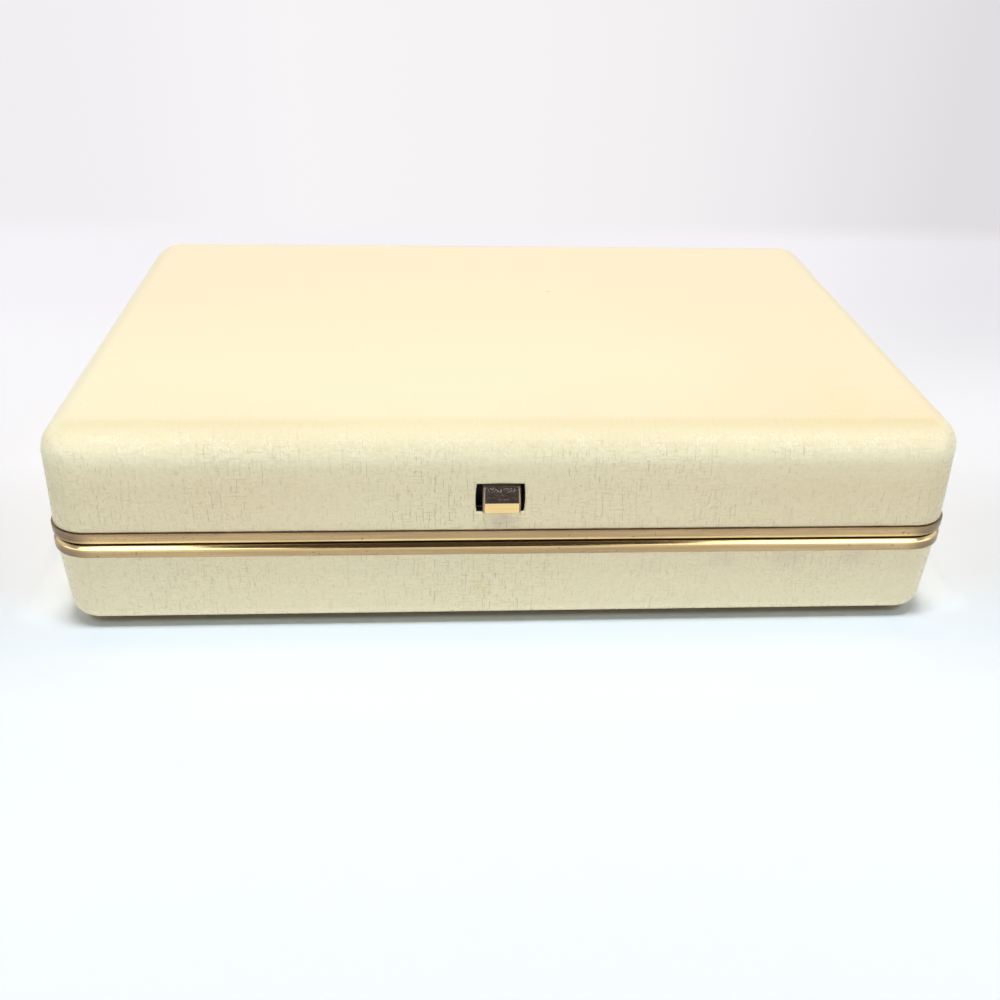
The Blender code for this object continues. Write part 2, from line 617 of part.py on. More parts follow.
def build_tray():
    """The flocked tray, moulded in one piece with its compartments."""
    half_y = (TRAY_REAR_Y - TRAY_FRONT_Y) / 2
    middle_y = (TRAY_REAR_Y + TRAY_FRONT_Y) / 2
    tray = as_mesh(plate("tray", [rounded_outline(TRAY_HALF_X, half_y, TRAY_CORNER_RADIUS, 4)], TRAY_HEIGHT,
                         velvet, Matrix.Translation((0, middle_y, TRAY_Z + TRAY_HEIGHT / 2))))
    inner_x, inner_y = TRAY_HALF_X - TRAY_WALL, half_y - TRAY_WALL
    step_x = (2 * inner_x + TRAY_RIB) / TRAY_COLUMNS
    step_y = (2 * inner_y + TRAY_RIB) / TRAY_ROWS
    for column in range(TRAY_COLUMNS):
        for row in range(TRAY_ROWS):
            low_x = -inner_x + column * step_x
            low_y = middle_y - inner_y + row * step_y
            combine(tray, box_cutter(f"tray_cell_{column}_{row}", (low_x, low_y, TRAY_Z + TRAY_FLOOR),
                                     (low_x + step_x - TRAY_RIB, low_y + step_y - TRAY_RIB,
                                      TRAY_Z + 2 * TRAY_HEIGHT)))
    return tray


def build_base_bracket(side, label):
    """The upright on the base that the arm turns on, with a bent ear that stops the arm."""
    y, z = BASE_PIVOT.y, BASE_PIVOT.z
    half_eye, half_foot = ARM_WIDTH / 2, BRACKET_WIDTH / 2
    foot_low = FLOOR_Z + BRACKET_LIFT
    foot_high = foot_low + BRACKET_FOOT
    stop_y = y + half_eye
    stop_low = z + STOP_RISE
    stop_high = stop_low + STOP_HEIGHT
    edge = [(y - half_foot, foot_low), (y + half_foot, foot_low), (y + half_foot, foot_high),
            (stop_y + BRACKET_PLATE, z - half_eye), (stop_y + BRACKET_PLATE, stop_high),
            (stop_y, stop_high), (stop_y, stop_low), (y, z + half_eye), (y - half_eye, z + half_eye / 2),
            (y - half_eye, z - half_eye), (y - half_foot, foot_high)]
    bracket = as_mesh(plate(f"base_bracket_{label}", [edge, circle_outline((y, z), EYE_RADIUS, 10)],
                            BRACKET_PLATE, plated,
                            Matrix.Translation((side * (BRACKET_X + BRACKET_PLATE / 2), 0, 0)) @ SIDEWAYS))
    join(bracket, block(f"stop_{label}", (side * (ARM_X + RUNNING_GAP), stop_y, stop_low + RUNNING_GAP),
                        (side * (BRACKET_X + BRACKET_PLATE / 2), stop_y + BRACKET_PLATE, stop_high)))
    join(bracket, block(f"base_bracket_pad_{label}",
                        (side * (BRACKET_X + BRACKET_PLATE / 2), y - half_foot, foot_low),
                        (side * (side_wall(False, foot_low) - GLUE_GAP), y + half_foot, foot_high)))
    through = ARM_PLATE + BRACKET_PLATE + 3 * RUNNING_GAP
    turned(f"arm_pivot_{label}",
           [(0, RIVET_HEAD / 2), (RIVET_HEAD_RADIUS, RIVET_HEAD / 2), (RIVET_HEAD_RADIUS, 0),
            (RIVET_RADIUS, 0), (RIVET_RADIUS, -through), (0, -through)],
           steel, (side * (ARM_X - RUNNING_GAP), y, z), (-side, 0, 0))
    for offset, spot in ((-1, "front"), (1, "rear")):
        start = Vector((side * (BRACKET_X - GLUE_GAP), y + offset * BRACKET_RIVET_SPACING / 2,
                        (foot_low + foot_high) / 2))
        fasten(f"base_bracket_rivet_{spot}_{label}", start, Vector((side, 0, 0)),
               side_wall(False, start.z) - abs(start.x), steel, [bracket], False)


def build_lid_bracket(side, label):
    """The bent strip that hangs from the lid's side wall and carries the rear of the tray."""
    foot_low = PARTING_Z + HALF_GAP + BAND_LIP_HEIGHT + BRACKET_LIFT
    foot_high = foot_low + BRACKET_FOOT
    outer = side_wall(True, foot_high) - GLUE_GAP
    low = TRAY_PIVOT.z - ARM_WIDTH / 2
    section = [(ARM_X, low), (ARM_X + ARM_PLATE, low), (ARM_X + ARM_PLATE, foot_low - ARM_PLATE),
               (outer, foot_low), (outer, foot_high), (outer - ARM_PLATE, foot_high),
               (outer - ARM_PLATE, foot_low + ARM_PLATE), (ARM_X, foot_low)]
    bracket = as_mesh(plate(f"lid_bracket_{label}", [[(side * x, z) for x, z in section]], BRACKET_WIDTH,
                            plated, Matrix.Translation((0, TRAY_PIVOT.y, 0)) @ FACING_FRONT))
    combine(bracket, drill(f"lid_bracket_eye_{label}",
                           (side * (ARM_X - ARM_PLATE), TRAY_PIVOT.y, TRAY_PIVOT.z), (side, 0, 0),
                           3 * ARM_PLATE, EYE_RADIUS))
    for offset, spot in ((-1, "front"), (1, "rear")):
        start = Vector((side * (outer - ARM_PLATE - GLUE_GAP), TRAY_PIVOT.y + offset * BRACKET_RIVET_SPACING / 2,
                        (foot_low + ARM_PLATE + foot_high) / 2))
        fasten(f"lid_bracket_rivet_{spot}_{label}", start, Vector((side, 0, 0)),
               side_wall(True, start.z) - abs(start.x), steel, [bracket], True)


def build_lift(side, label, tray):
    """The arm, brackets and pivots that carry one end of the tray."""
    reach = Vector((0, ARM_REACH, ARM_DROP))
    middle = BASE_PIVOT - reach / 2
    turn = Matrix.Rotation(math.atan2(reach.z, reach.y), 4, "Z")
    half = reach.length / 2
    plate(f"arm_{label}",
          [slot_outline((0, 0), half, ARM_WIDTH / 2, 6), circle_outline((-half, 0), EYE_RADIUS, 10),
           circle_outline((half, 0), EYE_RADIUS, 10)],
          ARM_PLATE, plated,
          Matrix.Translation((side * (ARM_X + ARM_PLATE / 2), middle.y, middle.z)) @ SIDEWAYS @ turn)
    build_base_bracket(side, label)
    build_lid_bracket(side, label)
    inner_wall = TRAY_HALF_X - TRAY_WALL
    for pivot, spot in ((TRAY_PIVOT, "rear"), (BASE_PIVOT - reach, "front")):
        start = Vector((side * (inner_wall - GLUE_GAP), pivot.y, pivot.z))
        length = ARM_X + ARM_PLATE + RUNNING_GAP - inner_wall + GLUE_GAP
        rivet(f"tray_stud_{spot}_{label}", start, (side, 0, 0), length, steel, far_head=True)
        combine(tray, drill(f"tray_stud_hole_{spot}_{label}", start, (side, 0, 0), length, EYE_RADIUS))


def build_dividers():
    """Covered walls that part the base's floor and that the lowered tray rests on."""
    low, high = FLOOR_Z + GLUE_GAP, TRAY_Z - GLUE_GAP
    corner = max(BASE_EDGE_RADIUS - ROOM_INSET, GLUE_GAP)
    end_x = side_wall(False, low) - corner - 2 * GLUE_GAP
    end_y = -front_wall(False, low) - corner - 2 * GLUE_GAP
    half = DIVIDER_THICKNESS / 2
    long_y = TRAY_FRONT_Y + DIVIDER_THICKNESS
    block("divider_long", (-end_x, long_y - half, low), (end_x, long_y + half, high), velvet, GLUE_GAP)
    for sign, label in ((-1, "left"), (1, "right")):
        x = sign * FRONT_DIVIDER_X
        block(f"divider_front_{label}", (x - half, -end_y, low),
              (x + half, long_y - half - GLUE_GAP, high), velvet, GLUE_GAP)
        x = sign * REAR_DIVIDER_X
        block(f"divider_rear_{label}", (x - half, long_y + half + GLUE_GAP, low),
              (x + half, end_y, high), velvet, GLUE_GAP)


def build_rolls():
    """Padded rolls side by side that grip rings between them."""
    front = SLIDE_BACK_Y + RIVET_HEAD + 2 * GLUE_GAP
    back = TRAY_FRONT_Y + DIVIDER_THICKNESS / 2 - GLUE_GAP
    length = 2 * FRONT_DIVIDER_X - DIVIDER_THICKNESS - 2 * GLUE_GAP
    pitch = (back - front) / ROLL_COUNT
    radius = (pitch - GLUE_GAP) / 2
    bulge = [(0, 0), (0.55, 0.06), (0.86, 0.28), (0.96, 0.6), (1, 1)]
    near = [(share * radius, length / 2 - depth * radius / 2) for share, depth in bulge]
    profile = near + [(across, -along) for across, along in reversed(near)]
    for number in range(ROLL_COUNT):
        turned(f"ring_roll_{number + 1}", profile, velvet,
               (0, front + pitch * (number + 0.5), FLOOR_Z + GLUE_GAP + radius), (1, 0, 0), steps=12)


def build_pad():
    """The padded satin panel under the lid's top."""
    half_x = CASE_WIDTH / 2 - LID_EDGE_RADIUS - PAD_MARGIN
    half_y = CASE_DEPTH / 2 - LID_EDGE_RADIUS - PAD_MARGIN
    bm = bmesh.new()
    bmesh.ops.create_cube(bm, size=1.0)
    for vert in bm.verts:
        vert.co = Vector((math.copysign(half_x, vert.co.x), math.copysign(half_y, vert.co.y),
                          PAD_BACK_Z if vert.co.z > 0 else PAD_FACE_Z))
    uprights = [e for e in bm.edges if abs(e.verts[0].co.z - e.verts[1].co.z) > PAD_THICKNESS / 2]
    bmesh.ops.bevel(bm, geom=uprights, offset=PAD_CORNER_RADIUS, segments=CORNER_STEPS, profile=0.5,
                    affect="EDGES")
    ends = [e for e in bm.edges if max(v.co.z for v in e.verts) < PAD_FACE_Z + 0.00001]
    bmesh.ops.bevel(bm, geom=ends, offset=PAD_EDGE_RADIUS, segments=3, profile=0.5, affect="EDGES")
    smooth(place("lid_pad", mesh_from(bm, "lid_pad"), satin), 50)


def hang_on(name, point, pieces):
    """Parents moving pieces and the tools that cut them to an empty on their axis."""
    axis = bpy.data.objects.new(name, None)
    axis.empty_display_size = 0.01
    axis.location = point
    parts.objects.link(axis)
    tools = [step.object for piece in pieces for step in piece.modifiers if step.type == "BOOLEAN"]
    for item in (*pieces, *tools):
        item.parent = axis
        item.matrix_parent_inverse = Matrix.Translation(point).inverted()
    return axis


def hang_moving_pieces():
    """Puts each moving group on its own axis: the catch and the tray move with the lid."""
    slide = [bpy.data.objects[name] for name in ("latch_button", "latch_slide")]
    tray = [item for item in parts.objects if item.name.startswith("tray")]
    lid = [item for item in parts.objects
           if item.name.startswith(("lid_", "latch_", "housing_", "hinge_leaf_lid")) and item not in slide]
    slide_axis = hang_on("slide_axis", Vector((BUTTON_X, SLIDE_FRONT_Y, CATCH_Z)), slide)
    tray_axis = hang_on("tray_axis", TRAY_PIVOT, tray)
    hang_on("lid_axis", Vector((0, AXIS_Y, PARTING_Z)), [*lid, slide_axis, tray_axis])
    for label in ("left", "right"):
        arm = bpy.data.objects[f"arm_{label}"]
        hang_on(f"arm_axis_{label}", Vector((arm.location.x, BASE_PIVOT.y, BASE_PIVOT.z)), [arm])


clear_scene()
parts = new_collection("jewelry_case")
cutters = new_collection("cutters")
leatherette = new_material("cream_leatherette", (0.79, 0.72, 0.51), 0.45)
board = new_material("pressed_board", (0.33, 0.24, 0.15), 0.8)
gilt = new_material("gilt_brass", (0.80, 0.60, 0.30), 0.25, 1.0)
plated = new_material("plated_steel", (0.70, 0.58, 0.36), 0.35, 1.0)
steel = new_material("dark_steel", (0.12, 0.11, 0.10), 0.4, 1.0)
velvet = new_material("wine_velvet", (0.20, 0.02, 0.04), 0.9)
satin = new_material("ivory_satin", (0.80, 0.71, 0.55), 0.35)
felt = new_material("brown_felt", (0.10, 0.07, 0.05), 0.95)

build_shells()
for hinge_side, hinge_label in ((-1, "left"), (1, "right")):
    build_hinge(hinge_side, hinge_label)
build_catch()
tray_piece = build_tray()
for lift_side, lift_label in ((-1, "left"), (1, "right")):
    build_lift(lift_side, lift_label, tray_piece)
build_dividers()
build_rolls()
build_pad()
hang_moving_pieces()
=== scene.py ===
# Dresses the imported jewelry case: crackled cream leatherette, gilt bands and button,
# wine velvet and ivory satin inside, on a pale studio table.

import math

import bmesh
import bpy
from mathutils import Matrix, Vector
from mathutils.noise import noise as noiseAt


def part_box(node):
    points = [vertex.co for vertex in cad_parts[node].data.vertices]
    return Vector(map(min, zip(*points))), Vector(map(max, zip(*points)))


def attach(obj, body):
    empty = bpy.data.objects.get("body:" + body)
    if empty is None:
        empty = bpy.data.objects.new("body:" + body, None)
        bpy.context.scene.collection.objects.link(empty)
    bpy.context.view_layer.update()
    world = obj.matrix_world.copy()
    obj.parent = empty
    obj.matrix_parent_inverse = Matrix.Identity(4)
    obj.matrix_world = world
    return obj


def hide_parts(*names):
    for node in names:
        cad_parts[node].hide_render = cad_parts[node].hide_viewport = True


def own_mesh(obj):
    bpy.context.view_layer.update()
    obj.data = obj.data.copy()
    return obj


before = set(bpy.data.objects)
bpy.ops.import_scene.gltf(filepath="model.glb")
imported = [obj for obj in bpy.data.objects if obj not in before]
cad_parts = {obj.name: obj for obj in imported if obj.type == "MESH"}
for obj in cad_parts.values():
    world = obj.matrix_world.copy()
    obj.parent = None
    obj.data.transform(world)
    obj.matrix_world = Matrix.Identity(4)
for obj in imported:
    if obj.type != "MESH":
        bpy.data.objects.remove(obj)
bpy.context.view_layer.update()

# sizes shared by several pieces, in metres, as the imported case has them
case = {"halfX": 0.14, "halfY": 0.0945, "corner": 0.012, "parting": 0.0316,
        "leather": 0.0007, "roomInset": 0.0043}
# each half: which way it goes from the parting, its draft, and the height of its flat end
halves = {"lid": (1, 0.017, 0.0692), "base": (-1, 0.056, 0.0023)}
runX, runY = case["halfX"] - case["corner"], case["halfY"] - case["corner"]
touch = 1e-6  # points nearer than this are one
slant = Vector((1, 2 ** 0.5, 3 ** 0.5))


def addObject(name, data):
    thing = bpy.data.objects.new(name, data)
    bpy.context.scene.collection.objects.link(thing)
    return thing


view = {"place": (-0.02513, -0.39016, 0.21597), "yaw": 4.235, "down": 29.749, "roll": 1.683,
        "focal": 1130.29, "image": 1000, "sensor": 36.0}


def makeCamera():
    yaw, down, roll = (math.radians(view[key]) for key in ("yaw", "down", "roll"))
    ahead = Vector((math.sin(yaw) * math.cos(down), math.cos(yaw) * math.cos(down), -math.sin(down)))
    right = Vector((math.cos(yaw), -math.sin(yaw), 0))
    up = right.cross(ahead)
    side = math.cos(roll) * right + math.sin(roll) * up
    top = math.cos(roll) * up - math.sin(roll) * right
    camera = addObject("camera", bpy.data.cameras.new("camera"))
    camera.data.sensor_width = view["sensor"]
    camera.data.lens = view["focal"] / view["image"] * view["sensor"]
    turned = Matrix((side, top, -ahead)).transposed().to_4x4()
    camera.matrix_world = Matrix.Translation(view["place"]) @ turned
    bpy.context.scene.camera = camera


makeCamera()
bpy.context.scene.view_settings.view_transform = "Standard"


def meshOf(name, bm, finish):
    mesh = bpy.data.meshes.new(name)
    bm.to_mesh(mesh)
    bm.free()
    mesh.materials.append(finish)
    return mesh


def finishPiece(name, bm, finish, body, node, angle, recalc=True):
    # merges, turns the faces outwards and rides the piece on its body
    bmesh.ops.remove_doubles(bm, verts=bm.verts, dist=touch)
    if recalc:
        bmesh.ops.recalc_face_normals(bm, faces=bm.faces)
    # one order of faces for every run, which the pad's cloth depends on
    bm.faces.sort(key=lambda f: f.calc_center_median().dot(slant))
    mesh = meshOf(name, bm, finish)
    mesh.shade_smooth()
    mesh.set_sharp_from_angle(angle=math.radians(angle))
    piece = addObject(name, mesh)
    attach(piece, body)
    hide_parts(node)
    return piece


def addWall(piece, thickness, inside=0):
    # thickens an open shell inwards; its inner side takes the finish that many slots on
    wall = piece.modifiers.new("wall", "SOLIDIFY")
    wall.thickness, wall.offset, wall.use_even_offset = thickness, -1, True
    wall.material_offset = wall.material_offset_rim = inside


def vertsAndEdges(geom):
    kinds = (bmesh.types.BMVert, bmesh.types.BMEdge)
    return [[part for part in geom if isinstance(part, kind)] for kind in kinds]


def edgesAt(bm, z):
    return [e for e in bm.edges if all(abs(v.co.z - z) < touch for v in e.verts)]


def bevelEdges(bm, edges, offset, segments, clamp=False):
    bmesh.ops.bevel(bm, geom=edges, offset=offset, segments=segments, profile=0.5, affect="EDGES",
                    material=-1, clamp_overlap=clamp)


def plainBlock(low, high):
    bm = bmesh.new()
    bmesh.ops.create_cube(bm, size=1.0)
    bmesh.ops.scale(bm, verts=bm.verts, vec=high - low)
    bmesh.ops.translate(bm, verts=bm.verts, vec=(low + high) / 2)
    return bm


def roundedBlock(low, high, corner, steps, ease=0):
    # a block, its upright edges rounded and its lower ones eased
    bm = plainBlock(low, high)
    uprights = [e for e in bm.edges if abs(e.verts[0].co.z - e.verts[1].co.z) > touch]
    bevelEdges(bm, uprights, corner, steps)
    if ease:
        bevelEdges(bm, edgesAt(bm, low.z), ease, 4)
    return bm


def sweepRound(bm, profile, steps, closed=False, ease=0.001):
    # carries a profile of (outwards, up) pairs round the case, with a short stretch beside each corner
    verts = [bm.verts.new((0, -case["halfY"] - out, up)) for out, up in profile]
    pairs = zip(verts, verts[1:] + verts[:1] if closed else verts[1:])
    edges = [bm.edges.new(pair) for pair in pairs]
    legs = [((1, 0), runX, (runX, -runY)), ((0, 1), 2 * runY, (runX, runY)),
            ((-1, 0), 2 * runX, (-runX, runY)), ((0, -1), 2 * runY, (-runX, -runY)), ((1, 0), runX, None)]
    for (x, y), length, centre in legs:
        first = ease if (x, y) != (1, 0) or centre is None else 0
        last = ease if centre else 0
        for part in filter(None, (first, length - first - last, last)):
            verts, edges = vertsAndEdges(bmesh.ops.extrude_edge_only(bm, edges=edges)["geom"])
            bmesh.ops.translate(bm, verts=verts, vec=(x * part, y * part, 0))
        if centre:
            spun = bmesh.ops.spin(bm, geom=verts + edges, cent=(*centre, 0), axis=(0, 0, 1),
                                  angle=math.pi / 2, steps=steps)
            verts, edges = vertsAndEdges(spun["geom_last"])
    bmesh.ops.remove_doubles(bm, verts=bm.verts, dist=touch)


def roundedProfile(points, radii, steps):
    # a closed outline whose corners are rounded, each by its own radius
    out = []
    for i, (point, radius) in enumerate(zip(points, radii)):
        here, before, after = (Vector(points[j % len(points)]) for j in (i, i - 1, i + 1))
        if not radius:
            out.append(tuple(here))
            continue
        start = here + (before - here).normalized() * radius
        end = here + (after - here).normalized() * radius
        for step in range(steps + 1):
            t = step / steps
            out.append(tuple((1 - t) ** 2 * start + 2 * t * (1 - t) * here + t * t * end))
    return out


# widths of the narrow rows at a shell's mouth, before its rounded edge, and round its flat end
rows = {"mouth": 0.0003, "edge": 0.001, "end": 0.0015}


def shellMesh(half, look):
    # an open shell of a half case: drafted side, rounded edge and flat end
    sign, draft, endZ = halves[half]
    inset, steps = look["inset"], look["edgeSteps"]
    start, radius = look["start"][half], look["radius"][half]
    lean = math.atan(draft)
    rise = abs(endZ - case["parting"]) - inset - radius
    endRise = rise + radius * math.sin(lean)
    centre = -inset - draft * endRise - radius * math.cos(lean)
    points = [(-inset - draft * up, up) for up in (start, start + rows["mouth"], endRise - rows["edge"])]
    for step in range(steps + 1):
        turn = lean + (math.pi / 2 - lean) * step / steps
        points.append((centre + radius * math.cos(turn), rise + radius * math.sin(turn)))
    profile = [(out, case["parting"] + sign * up) for out, up in points]
    bm = bmesh.new()
    sweepRound(bm, profile, look["cornerSteps"])
    rim = [e for e in edgesAt(bm, profile[-1][1]) if e.is_boundary]
    end = bmesh.ops.contextual_create(bm, geom=rim)["faces"]
    bmesh.ops.inset_region(bm, faces=end, thickness=rows["end"], use_even_offset=True)
    bmesh.ops.recalc_face_normals(bm, faces=bm.faces)
    if max(bm.faces, key=lambda f: f.calc_area()).normal.z * sign < 0:
        bmesh.ops.reverse_faces(bm, faces=bm.faces)
    return bm, centre, case["parting"] + sign * rise


class Nodes:
    # short calls for the nodes that the finishes share
    def __init__(self, finish):
        self.finish, self.tree = finish, finish.node_tree

    def add(self, kind, inputs=(), **settings):
        node = self.tree.nodes.new("ShaderNode" + kind)
        for key, value in settings.items():
            setattr(node, key, value)
        for key, value in dict(inputs).items():
            if isinstance(value, bpy.types.NodeSocket):
                self.tree.links.new(value, node.inputs[key])
            else:
                node.inputs[key].default_value = value
        return node

    def link(self, value, socket):
        self.tree.links.new(value, self.tree.nodes["Principled BSDF"].inputs[socket])

    def surface(self, value):
        output = next(node for node in self.tree.nodes if node.type == "OUTPUT_MATERIAL")
        self.tree.links.new(value, output.inputs["Surface"])

    def mapped(self, vector, scale, shift=(0, 0, 0)):
        return self.add("Mapping", {"Vector": vector, "Scale": scale, "Location": shift}).outputs[0]

    def place(self, scale=(1, 1, 1)):
        return self.mapped(self.add("TexCoord").outputs["Object"], scale)

    def grain(self, scale=(1, 1, 1), shift=(0, 0, 0)):
        return self.mapped(self.add("UVMap", uv_map="grain").outputs[0], scale, shift)

    def split(self, vector):
        return self.add("SeparateXYZ", {0: vector}).outputs

    def noise(self, vector, scale, detail=3.0, rough=0.5, dims="3D", out="Fac"):
        inputs = {"Vector": vector, "Scale": scale, "Detail": detail, "Roughness": rough}
        return self.add("TexNoise", inputs, noise_dimensions=dims).outputs[out]

    def cells(self, vector, scale=1.0, loose=0.8, distance="CHEBYCHEV"):
        # the distance from the middle of each cell, and a value of its own for it
        inputs = {"Vector": vector, "Scale": scale, "Randomness": loose}
        cell = self.add("TexVoronoi", inputs, feature="F1", voronoi_dimensions="2D", distance=distance)
        return cell.outputs["Distance"], self.add("SeparateColor", {0: cell.outputs["Color"]}).outputs[0]

    def remap(self, value, low, high, outLow=0.0, outHigh=1.0, smooth=True):
        inputs = {"Value": value, "From Min": low, "From Max": high, "To Min": outLow, "To Max": outHigh}
        kind = "SMOOTHSTEP" if smooth else "LINEAR"
        return self.add("MapRange", inputs, interpolation_type=kind).outputs[0]

    def between(self, value, rise, fall):
        # goes up from 0 to 1 over one span and down again over the other
        return self.times(self.remap(value, *rise), self.remap(value, *fall, 1.0, 0.0))

    def central(self, value, inner, outer, share):
        # a share near the middle that fades away to both sides
        return self.remap(self.math("ABSOLUTE", value), inner, outer, share, 0.0)

    def ramp(self, value, stops):
        # colours along a value: the first and last stops set the ramp's ends
        first, last = stops[0][0], stops[-1][0]
        node = self.add("ValToRGB", {0: self.remap(value, first, last, smooth=False)})
        bar = node.color_ramp
        for place, colour in stops[1:-1]:
            bar.elements.new((place - first) / (last - first))
        for element, (place, colour) in zip(bar.elements, stops):
            element.color = (*colour, 1)
        return node.outputs[0]

    def math(self, operation, a, b=0.0, c=0.0):
        return self.add("Math", {0: a, 1: b, 2: c}, operation=operation).outputs[0]

    def chain(self, operation, first, *others):
        for other in others:
            first = self.math(operation, first, other)
        return first

    def times(self, *values):
        return self.chain("MULTIPLY", *values)

    def most(self, *values):
        return self.chain("MAXIMUM", *values)

    def less(self, a, b):
        return self.math("SUBTRACT", a, b)

    def line(self, value, slope, start):
        return self.math("MULTIPLY_ADD", value, slope, start)

    def vector(self, operation, a, b):
        second = "Scale" if operation == "SCALE" else 1
        node = self.add("VectorMath", {0: a, second: b}, operation=operation)
        return node.outputs["Value" if operation == "DISTANCE" else "Vector"]

    def mix(self, factor, a, b, blend="MIX"):
        return self.add("Mix", {0: factor, 6: a, 7: b}, data_type="RGBA", blend_type=blend).outputs[2]

    def layers(self, colour, *coats):
        # lays colours over the first one, each by its own share
        for share, coat in coats:
            colour = self.mix(share, colour, coat)
        return colour

    def bump(self, height, distance, strength=1.0, normal=None):
        inputs = {"Height": height, "Distance": distance, "Strength": strength}
        if normal:
            inputs["Normal"] = normal
        return self.add("Bump", inputs).outputs[0]

    def near(self, point, radius, soft):
        # 1 at a point of the object, fading to 0 at a distance
        away = self.vector("DISTANCE", self.add("TexCoord").outputs["Object"], point)
        return self.remap(away, radius * soft, radius, 1.0, 0.0)

    def outline(self, x, y):
        # how far a point lies outside the case's outline, and the share of that to its side
        over = [self.most(self.less(self.math("ABSOLUTE", value), run), 0.0)
                for value, run in ((x, runX), (y, runY))]
        reach = self.math("SQRT", self.line(over[0], over[0], self.times(over[1], over[1])))
        sideways = self.math("DIVIDE", over[0], self.most(reach, 0.0001))
        return self.less(reach, case["corner"]), sideways

    def seen(self):
        # 1 for what the eye meets, straight or mirrored, and 0 for what lights the object
        path = self.add("LightPath").outputs
        return self.most(*(path[f"Is {kind} Ray"] for kind in ("Camera", "Glossy", "Transmission")))

    def hairlines(self, right, up, spacing, width, length, cut, seed, strength, upright):
        # short broken lines: the walls of a row of cells, shifted from one length to the next
        across, along = (right, up) if upright else (up, right)
        scale = (1 / spacing, 1 / length, 1) if upright else (1 / length, 1 / spacing, 1)
        patches = self.noise(self.grain(scale, (seed, seed, 0)), 1.0, 2, 0.6, "2D")
        step = self.math("FLOOR", self.line(along, 1 / length, seed))
        jolt = self.add("TexWhiteNoise", {"W": step}, noise_dimensions="1D").outputs["Value"]
        position = self.line(across, 1 / spacing, self.times(jolt, 40.0))
        wall = self.add("TexVoronoi", {"W": position, "Scale": 1}, feature="DISTANCE_TO_EDGE",
                        voronoi_dimensions="1D").outputs["Distance"]
        broken = self.remap(patches, cut, cut + 0.1)
        return self.times(self.remap(wall, 0.0, width / spacing, 1, 0), broken, strength)


def newFinish(name, **sockets):
    finish = bpy.data.materials.new(name)
    finish.use_nodes = True
    for socket, value in sockets.items():
        shader = finish.node_tree.nodes["Principled BSDF"]
        shader.inputs[socket.replace("_", " ")].default_value = value
    return Nodes(finish)


# hairlines: spacing, width, length, how much is broken away, seed, strength, whether they are upright
# stains and painted shade: place, radius, colour, strength; Z: the heights where a layer comes in and goes
# out again
leatherLook = {
    "cream": (0.84, 0.743, 0.47, 1), "warm": (0.849, 0.675, 0.395, 1), "pale": (0.825, 0.765, 0.516, 1),
    "low": (0.922, 0.856, 0.598, 1), "rubbed": (0.915, 0.825, 0.545, 1), "lip": (1.0, 0.955, 0.65, 1),
    "glint": (1.0, 0.97, 0.76, 1), "crack": (0.42, 0.36, 0.23, 1), "speck": (0.3, 0.25, 0.15, 1),
    "grime": (0.3, 0.22, 0.12, 1), "crackTone": 0.42, "speckTone": 0.38, "crackDepth": 0.00009,
    "wander": 0.0006, "glintCells": (1250, 1000, 1), "blockCells": (460, 620, 1),
    "hairlines": [
        (0.0022, 0.00009, 0.0052, 0.48, 3.1, 1.0, True),
        (0.0013, 0.00007, 0.003, 0.5, 7.7, 0.75, True),
        (0.0014, 0.00008, 0.0036, 0.47, 5.3, 0.75, False)],
    "rubbedZ": ((0.049, 0.0565), (0.0672, 0.0694)), "topZ": (0.061, 0.069),
    "lipZ": ((0.056, 0.0605), (0.0605, 0.0648)), "glintZ": ((0.057, 0.0615), (0.0652, 0.0682)),
    "stains": [
        ((-0.0085, -0.0925, 0.0145), 0.006, (0.8, 0.66, 0.26, 1), 0.3),
        ((0.107, -0.073, 0.0692), 0.012, (0.84, 0.68, 0.3, 1), 0.3),
        # a pinkish stain under the button, deepened by painted shade just beneath it
        ((-0.0026, -0.0938, 0.04), 0.005, (0.62, 0.46, 0.38, 1), 0.42),
        # this and the next two: painted soft shade under the lower band, on its right
        ((0.068, -0.0942, 0.0262), 0.007, (0.6, 0.54, 0.46, 1), 0.3),
        ((0.09, -0.0942, 0.0264), 0.0085, (0.6, 0.54, 0.46, 1), 0.34),
        ((0.11, -0.0942, 0.0264), 0.0075, (0.6, 0.54, 0.46, 1), 0.34),
        ((0.022, 0.028, 0.0692), 0.0012, (0.55, 0.42, 0.25, 1), 0.7),
        ((-0.0985, -0.0938, 0.056), 0.0014, (0.45, 0.41, 0.35, 1), 0.3)],
    "firm": ((-0.018, -0.0945, 0.014), 0.06), "grimeEdges": ((0.036, 0.00055), (0.0274, -0.0005)),
}


